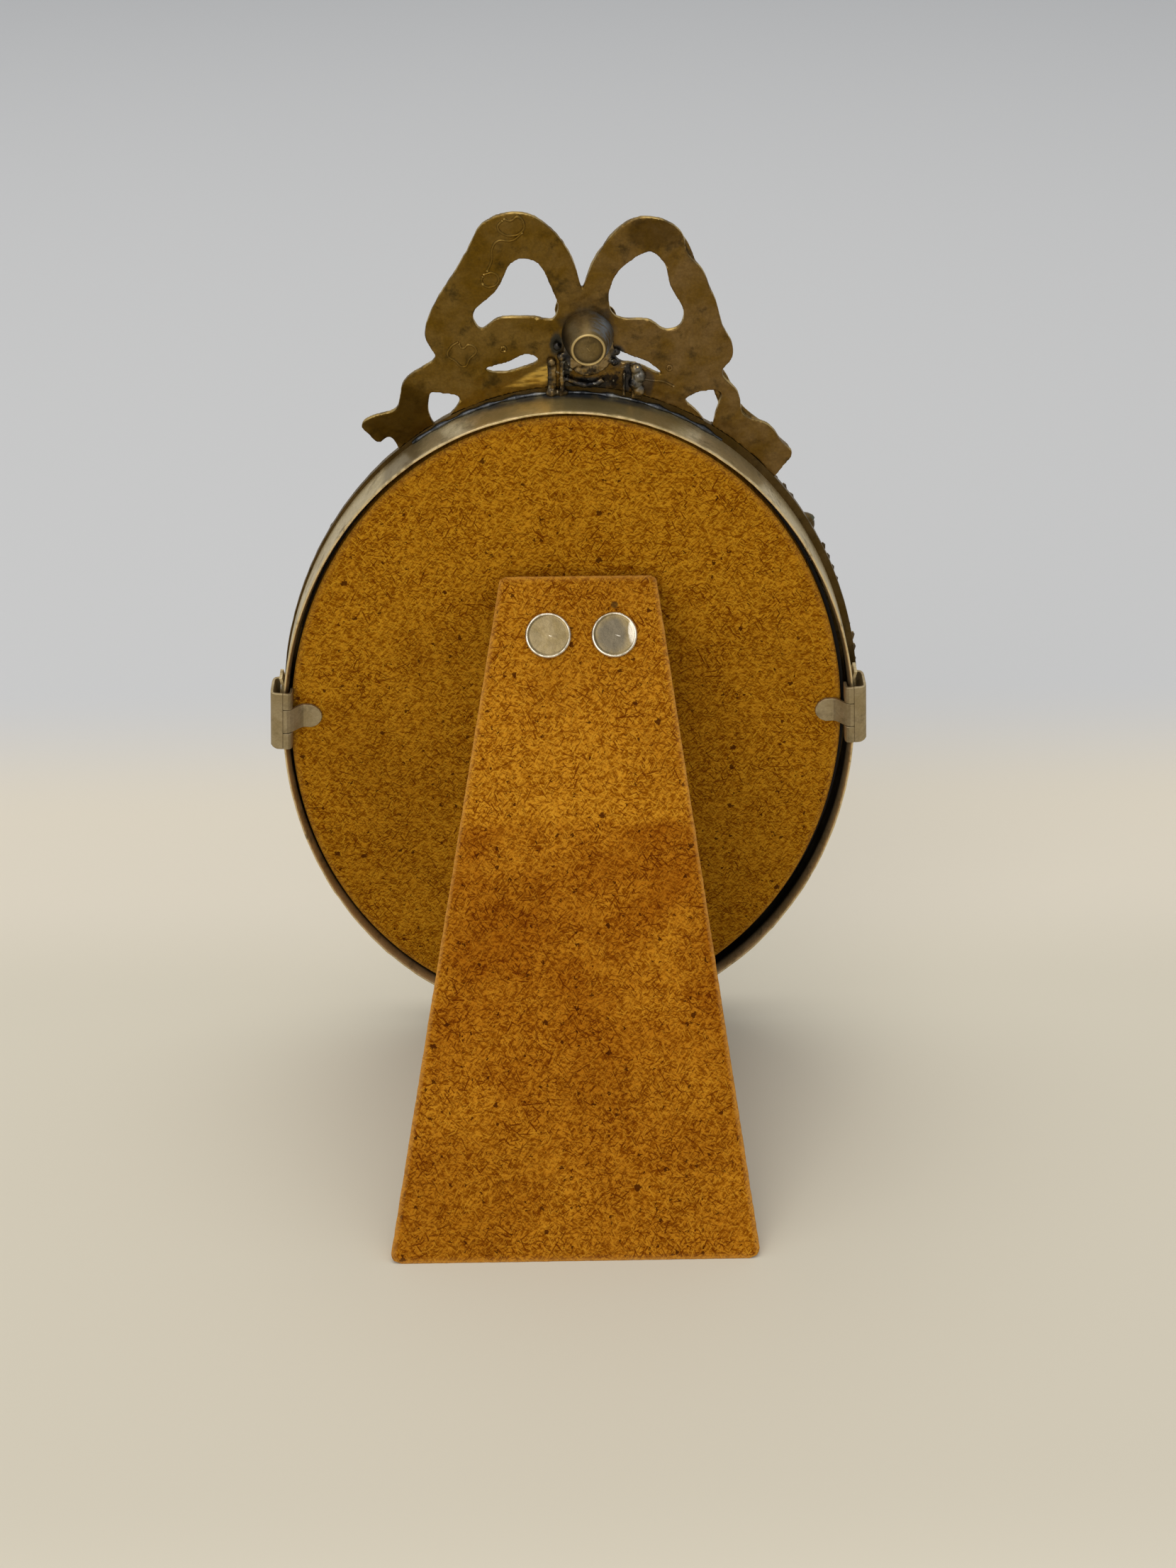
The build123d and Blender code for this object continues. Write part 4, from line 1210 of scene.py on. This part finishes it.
class FRAME_OT_filling(bpy.types.Operator):
    """The glass and the strips on the band get their finish, and the card stands clear of the glass"""

    bl_idname = "oval_frame.filling"
    bl_label = "Glass and card"

    def execute(self, context):
        dress("glass_pane", finish_named("plain_glass", glass_finish))
        card = node_copy("picture_card")
        middle = (oval_place().inverted() @ middle_of("picture_card")).z
        reshape(card, lambda co: co - Vector((0, 0, 0.1 * MM if co.z > middle else 0)))
        settle(card, "card", "frame", finish_named("plain_card", card_finish), oval_place(),
               ["picture_card"])
        for node in ("left_clip_keeper", "right_clip_keeper"):
            dress(node, finish_named("sheet_brass", sheet_finish))
        return {"FINISHED"}


PANEL_TURN = 1.5     # degrees that the panel is turned in the band


class FRAME_OT_panel(bpy.types.Operator):
    """The oval hardboard back"""

    bl_idname = "oval_frame.panel"
    bl_label = "Back panel"

    def execute(self, context):
        half_width = sizes().panel_width / 2
        half_height = half_width + (sizes().band_height - sizes().band_width) / 2
        back = sizes().panel_back
        front = back + sizes().panel_thickness
        shift = middle_of("back_panel").x
        turn = radians(PANEL_TURN)
        ease = 0.25 * MM
        steps = [(half_width - ease, half_height - ease, front), (half_width, half_height, front - ease),
                 (half_width, half_height, back + ease), (half_width - ease, half_height - ease, back)]
        for inset in (1.2, 4, 9, 16, 24, 32, 40, 46):
            steps.append((half_width - inset * MM, half_height - inset * MM, back))
        panel = sweep_oval(steps, 200, True)
        close_ends(panel)
        mark(panel, "edge", lambda co: max(0.0, 1 - (1 - hypot(co.x / half_width, co.y / half_height))
                                           * half_width / (1.0 * MM)) * 0.5)
        panel.data.transform(Matrix.Translation((shift, 0, 0)) @ Matrix.Rotation(turn, 4, "Z"))
        finish = board_finish("panel_board", finishes().board, oval_place(), 0.4, 0.6)
        settle(panel, "panel", "frame", finish, oval_place(), ["back_panel"])
        return {"FINISHED"}


class FRAME_OT_leg(bpy.types.Operator):
    """The tapered hardboard leg, with worn edges and a foot cut level with the floor"""

    bl_idname = "oval_frame.leg"
    bl_label = "Easel leg"

    def execute(self, context):
        top_middle, foot_middle = -1.6 * MM, 0.3 * MM
        half_top, half_foot = sizes().leg_top_width / 2, sizes().leg_foot_width / 2
        thickness = sizes().leg_thickness
        top, front = 4.7 * MM, -1.5 * MM
        top_corner, foot_corner = 0.9 * MM, 2.0 * MM
        tilt = pi / 2 - LEAN + OPEN_ANGLE
        length = top + (PIN.z + (front - thickness) * cos(tilt)) / sin(tilt)

        def taper(co):
            """From a unit square to the leg's outline, with rounded corners."""
            down = (0.5 - co.y) * length
            share = (0.5 - co.y)
            half = half_top + (half_foot - half_top) * share
            for near, corner in ((down, top_corner), (length - down, foot_corner)):
                if near < corner:
                    half -= corner - sqrt(corner ** 2 - (corner - near) ** 2)
            middle = top_middle + (foot_middle - top_middle) * share
            return Vector((middle + 2 * co.x * half, top - down, front))

        deselect()
        bpy.ops.mesh.primitive_grid_add(x_subdivisions=60, y_subdivisions=200, size=1)
        leg = bpy.context.object
        reshape(leg, taper)
        modify(leg, "SOLIDIFY", thickness=thickness, offset=-1)
        tidy_mesh(leg)
        modify(leg, "BEVEL", width=0.32 * MM, segments=3, limit_method="ANGLE", angle_limit=radians(45))

        def at_edge(co):
            """One at the outline, fading to nothing a little way in."""
            share = (top - co.y) / length
            half = half_top + (half_foot - half_top) * share
            middle = top_middle + (foot_middle - top_middle) * share
            inside = min(half - abs(co.x - middle), top - co.y, co.y - (top - length))
            return max(0.0, min(1.0, 1 - inside / (0.7 * MM)))

        mark(leg, "edge", at_edge)
        fringe = weigh(leg, "fringe", lambda co: min(1.0, at_edge(co)))
        roughen(leg, "fuzzy_edge", 0.8 * MM, 0.16 * MM, "NORMAL", fringe)
        place = leg_place()
        back = place.inverted()

        def above_floor(co):
            """Lifts what is below the floor onto it, which leaves a level foot."""
            spot = place @ co
            return back @ Vector((spot.x, spot.y, max(spot.z, 0.0)))

        reshape(leg, above_floor)
        nick = ((-7.6, -0.2), (0.7, 0.7), 0, (0.06, 0.03, 0.008, 1), 0.8)
        finish = board_finish("leg_board", finishes().leg_board, place, 0.5, 1.0, -36.5 * MM, [nick])
        settle(leg, "leg", "leg", finish, place, ["easel_leg"])
        return {"FINISHED"}


class FRAME_OT_rivets(bpy.types.Operator):
    """The leg's two rivets: flat hammered heads with a rolled rim, and their tails"""

    bl_idname = "oval_frame.rivets"
    bl_label = "Leg rivets"

    def execute(self, context):
        centre = leg_place().inverted() @ middle_of("leg_rivets")
        drop, half_spacing = -5.32 * MM, 5.5 * MM
        wide = sizes().rivet_head / 2 + 0.12 * MM
        rear = -1.5 * MM - sizes().leg_thickness
        leaf = -0.7 * MM
        face = rear - 0.78 * MM
        profile = [
            (0.4 * MM, leaf + 0.5 * MM), (2.1 * MM, leaf + 0.5 * MM), (2.3 * MM, leaf + 0.3 * MM),
            (2.3 * MM, leaf), (1.5 * MM, leaf), (1.5 * MM, rear), (wide - 0.1 * MM, rear),
            (wide, rear - 0.25 * MM), (wide - 0.03 * MM, rear - 0.62 * MM),
            (wide - 0.16 * MM, rear - 0.84 * MM), (wide - 0.32 * MM, rear - 0.9 * MM),
            (wide - 0.48 * MM, rear - 0.86 * MM), (wide - 0.62 * MM, face), (wide - 0.8 * MM, face),
        ]
        profile += [(half * MM, face) for half in (2.7, 2.3, 1.9, 1.5, 1.1, 0.7, 0.35, 0.12)]
        rivets = []
        for side in (-1, 1):
            steps = [(half, half, level) for half, level in profile]
            rivet = sweep_oval(steps, 72, True, (centre.x + side * half_spacing, drop))
            close_ends(rivet)
            hammered = weigh(rivet, "hammered", lambda co: 1.0 if co.z < rear - 0.7 * MM else 0.0)
            roughen(rivet, "hammer_marks", 2.2 * MM, 0.1 * MM, "Z", hammered)
            rivets.append(rivet)
        settle(join(rivets), "rivets", "leg", finish_named("rivet_plate", rivet_finish),
               leg_place(), ["leg_rivets"])
        return {"FINISHED"}


class FRAME_OT_hinge(bpy.types.Operator):
    """The hinge behind the leg keeps its shape and gets its finish"""

    bl_idname = "oval_frame.hinge"
    bl_label = "Hinge"

    def execute(self, context):
        for node in ("hinge_fixed_leaf", "hinge_moving_leaf", "hinge_pin"):
            dress(node, finish_named("hinge_plate", steel_finish))
        dress("panel_rivets", finish_named("rivet_plate", rivet_finish))
        return {"FINISHED"}


class FRAME_OT_clips(bpy.types.Operator):
    """The two bent steel clips over the band's edge"""

    bl_idname = "oval_frame.clips"
    bl_label = "Clips"

    def execute(self, context):
        for side, name in ((1, "left_clip"), (-1, "right_clip")):
            self.clip(side, name)
        return {"FINISHED"}

    def clip(self, side, name):
        """One clip: outer flange, web, two short inner flanges and a joggled tongue."""
        sheet = 0.5 * MM
        middle = 6.4 * MM
        half_length, half_tongue, slit = 5.8 * MM, 2.35 * MM, 0.12 * MM
        outer = [(50.42, 4.3), (50.8, 4.4), (51.2, 4.2), (51.45, 3.8), (51.55, 3.2), (51.55, 0.4),
                 (51.5, -0.2), (51.3, -0.5), (51.0, -0.62), (50.4, -0.65)]
        inner = [(49.3, -0.65), (48.75, -0.62), (48.45, -0.5), (48.28, -0.25), (48.25, 0.1), (48.25, 1.3)]
        tongue = [(49.6, -0.66), (49.0, -0.62), (48.5, -0.42), (47.9, 0.1), (47.2, 0.85), (46.7, 1.32),
                  (46.3, 1.54), (45.8, 1.59), (44.6, 1.59), (43.0, 1.59)]
        crown, tip = (49.6, -0.65), 43.0 * MM
        pieces = []
        low, high = middle - half_length, middle + half_length
        spans = (
            (outer + [crown], low, high, self.round_corner(low)),
            ([crown] + inner, low, middle - half_tongue - slit, ()),
            ([crown] + inner, middle + half_tongue + slit, high, ()),
            (tongue, middle - half_tongue, middle + half_tongue, self.round_tip(middle, half_tongue, tip)),
        )
        for path, bottom, top, cuts in spans:
            piece = bent_sheet([mm(*point) for point in path], (bottom, top), sheet, cuts)
            modify(piece, "BEVEL", width=0.1 * MM, segments=2, limit_method="ANGLE", angle_limit=radians(50))
            pieces.append(piece)
        clip = join(pieces)
        band_x = 49.74 * MM
        turn = atan2(middle / band_x * (sizes().band_width / sizes().band_height) ** 2, 1)
        about = Matrix.Translation((band_x, middle, 0))
        clip.data.transform(about @ Matrix.Rotation(turn, 4, "Z") @ about.inverted())
        if side < 0:
            clip.data.transform(Matrix.Scale(-1, 4, (1, 0, 0)))
            edit(clip)
            bpy.ops.mesh.flip_normals()
            bpy.ops.object.mode_set(mode="OBJECT")
        settle(clip, name + "_sheet", name + "_body", finish_named("clip_plate", steel_finish),
               oval_place(), [name], 3)

    def round_tip(self, middle, half, tip):
        """The planes that cut the tongue's end to a round tip."""
        cuts = []
        for step in range(1, 12):
            angle = pi / 2 * step / 12
            for sign in (-1, 1):
                point = (tip + half * (1 - cos(angle)), middle + sign * half * sin(angle), 0)
                cuts.append((point, (-cos(angle), sign * sin(angle), 0)))
        return cuts

    def round_corner(self, low):
        """The planes that round the web's lower outer corner."""
        radius = 1.5 * MM
        corner = Vector((51.7 * MM - radius, low + radius, 0))
        cuts = []
        for step in range(1, 6):
            angle = pi / 2 * step / 6
            outwards = Vector((cos(angle), -sin(angle), 0))
            cuts.append((corner + outwards * radius, outwards))
        return cuts


# The photograph's camera, as distances in millimetres and angles in degrees, and the lit room in metres
CAMERA_TARGET = (-3.5, 0, 50.42)     # from the point where the band stands on the floor
CAMERA_DISTANCE = 415.3
CAMERA_PITCH = 25.49
CAMERA_YAW = 1.14
CAMERA_ROLL = -0.22
FOCAL_PIXELS = 3200
IMAGE_HEIGHT = 2212
SENSOR = 36
FLOOR_RADIUS = 8
FLOOR_DROP = 0.02 * MM     # keeps the floor just clear of what stands on it
ROOM_COLOUR = (0.95, 0.97, 1.0, 1)
ROOM_STRENGTH = 0.58
LAMP_COLOUR = (1.0, 0.96, 0.9)
LAMP_TARGET = Vector((0, 0, 0.07))
LAMPS = (("overhead", (0.2, -0.2, 1.9), 1.8, 18.0), ("rear_fill", (0.9, 2.6, 1.4), 2.2, 36.0))


class FRAME_OT_stage(bpy.types.Operator):
    """The pale floor, the soft lamps and the camera at the photograph's angle"""

    bl_idname = "oval_frame.stage"
    bl_label = "Stage"

    def execute(self, context):
        self.floor()
        self.lamps()
        self.camera()
        context.scene.view_settings.view_transform = "Standard"
        return {"FINISHED"}

    def floor(self):
        """A wide pale disc with a soft gloss, cooler far off, with a painted pale strip of light across it
        and painted light near the camera.
        """
        deselect()
        bpy.ops.mesh.primitive_circle_add(
            vertices=128, radius=FLOOR_RADIUS, fill_type="NGON", location=(0, 0, -FLOOR_DROP))
        floor = bpy.context.object
        floor.name = "floor"
        finish, tree, shader, vector = new_finish("pale_floor")
        far = axis(tree, vector, 1)
        cool = ramp(tree, far, -0.06, -0.16)
        tone = blend(tree, cool, tuple(finishes().floor), (0.55, 0.555, 0.56, 1))
        # Painted light: a paler warm strip across the floor.
        strip = times(tree, ramp(tree, far, -0.2, -0.12), ramp(tree, far, -0.04, -0.09))
        tone = blend(tree, strip, tone, (0.66, 0.605, 0.5, 1))
        # Painted light: the floor is paler near the camera.
        tone = blend(tree, ramp(tree, far, 0.09, 0.14), tone, (0.69, 0.64, 0.52, 1))
        tree.links.new(tone, shader.inputs["Base Color"])
        shader.inputs["Roughness"].default_value = 0.5
        shader.inputs["Specular IOR Level"].default_value = 0.2
        floor.data.materials.append(finish)

    def lamps(self):
        """A pale room, a wide lamp overhead and one farther off, behind the camera and to its left."""
        world = bpy.data.worlds.new("pale_room")
        bpy.context.scene.world = world
        world.use_nodes = True
        background = world.node_tree.nodes["Background"]
        background.inputs["Color"].default_value = ROOM_COLOUR
        background.inputs["Strength"].default_value = ROOM_STRENGTH
        for name, place, size, power in LAMPS:
            lamp = bpy.data.lights.new(name, "AREA")
            lamp.size = size
            lamp.energy = power
            lamp.color = LAMP_COLOUR
            holder = bpy.data.objects.new(name, lamp)
            holder.location = place
            holder.rotation_euler = (LAMP_TARGET - Vector(place)).to_track_quat("-Z", "Y").to_euler()
            bpy.context.collection.objects.link(holder)

    def camera(self):
        """The camera behind the frame, above it and a little to one side."""
        pitch, yaw = radians(CAMERA_PITCH), radians(CAMERA_YAW)
        forwards = Vector((-sin(yaw) * cos(pitch), -cos(yaw) * cos(pitch), -sin(pitch)))
        camera = bpy.data.cameras.new("camera")
        camera.sensor_width = SENSOR
        camera.lens = FOCAL_PIXELS / IMAGE_HEIGHT * SENSOR
        camera.clip_start = 0.01
        holder = bpy.data.objects.new("camera", camera)
        turn = forwards.to_track_quat("-Z", "Y").to_matrix().to_4x4()
        roll = Matrix.Rotation(radians(CAMERA_ROLL), 4, "Z")
        stand = oval_place() @ Vector((0, -sizes().band_height / 2, 0))
        place = stand + (Vector(CAMERA_TARGET) - forwards * CAMERA_DISTANCE) * MM
        holder.matrix_world = Matrix.Translation(place) @ turn @ roll
        bpy.context.collection.objects.link(holder)
        bpy.context.scene.camera = holder


PIECE_OPERATORS = (
    FRAME_OT_band, FRAME_OT_rim, FRAME_OT_bow, FRAME_OT_knot, FRAME_OT_stud, FRAME_OT_bracket,
    FRAME_OT_filling, FRAME_OT_panel, FRAME_OT_leg, FRAME_OT_rivets, FRAME_OT_hinge, FRAME_OT_clips,
    FRAME_OT_stage,
)


class FRAME_PT_panel(bpy.types.Panel):
    """Lists the frame's pieces and settings"""

    bl_idname = "FRAME_PT_panel"
    bl_label = "Oval frame"
    bl_space_type = "VIEW_3D"
    bl_region_type = "UI"
    bl_category = "Oval frame"

    def draw(self, context):
        layout = self.layout
        for group in (sizes(), finishes()):
            for name in group.__annotations__:
                layout.prop(group, name)
        for operator in PIECE_OPERATORS:
            layout.operator(operator.bl_idname)


CLASSES = (FrameSizes, FrameFinishes, *PIECE_OPERATORS, FRAME_PT_panel)


def register():
    """Adds the settings, the operators and the panel."""
    for made in CLASSES:
        bpy.utils.register_class(made)
    bpy.types.Scene.oval_frame_sizes = bpy.props.PointerProperty(type=FrameSizes)
    bpy.types.Scene.oval_frame_finishes = bpy.props.PointerProperty(type=FrameFinishes)


def unregister():
    """Takes them away again."""
    del bpy.types.Scene.oval_frame_finishes
    del bpy.types.Scene.oval_frame_sizes
    for made in reversed(CLASSES):
        bpy.utils.unregister_class(made)


def main():
    """Makes every piece in order."""
    register()
    bpy.ops.oval_frame.band()
    bpy.ops.oval_frame.rim()
    bpy.ops.oval_frame.bow()
    bpy.ops.oval_frame.knot()
    bpy.ops.oval_frame.stud()
    bpy.ops.oval_frame.bracket()
    bpy.ops.oval_frame.filling()
    bpy.ops.oval_frame.panel()
    bpy.ops.oval_frame.leg()
    bpy.ops.oval_frame.rivets()
    bpy.ops.oval_frame.hinge()
    bpy.ops.oval_frame.clips()
    bpy.ops.oval_frame.stage()
    deselect()


if __name__ == "__main__":
    main()
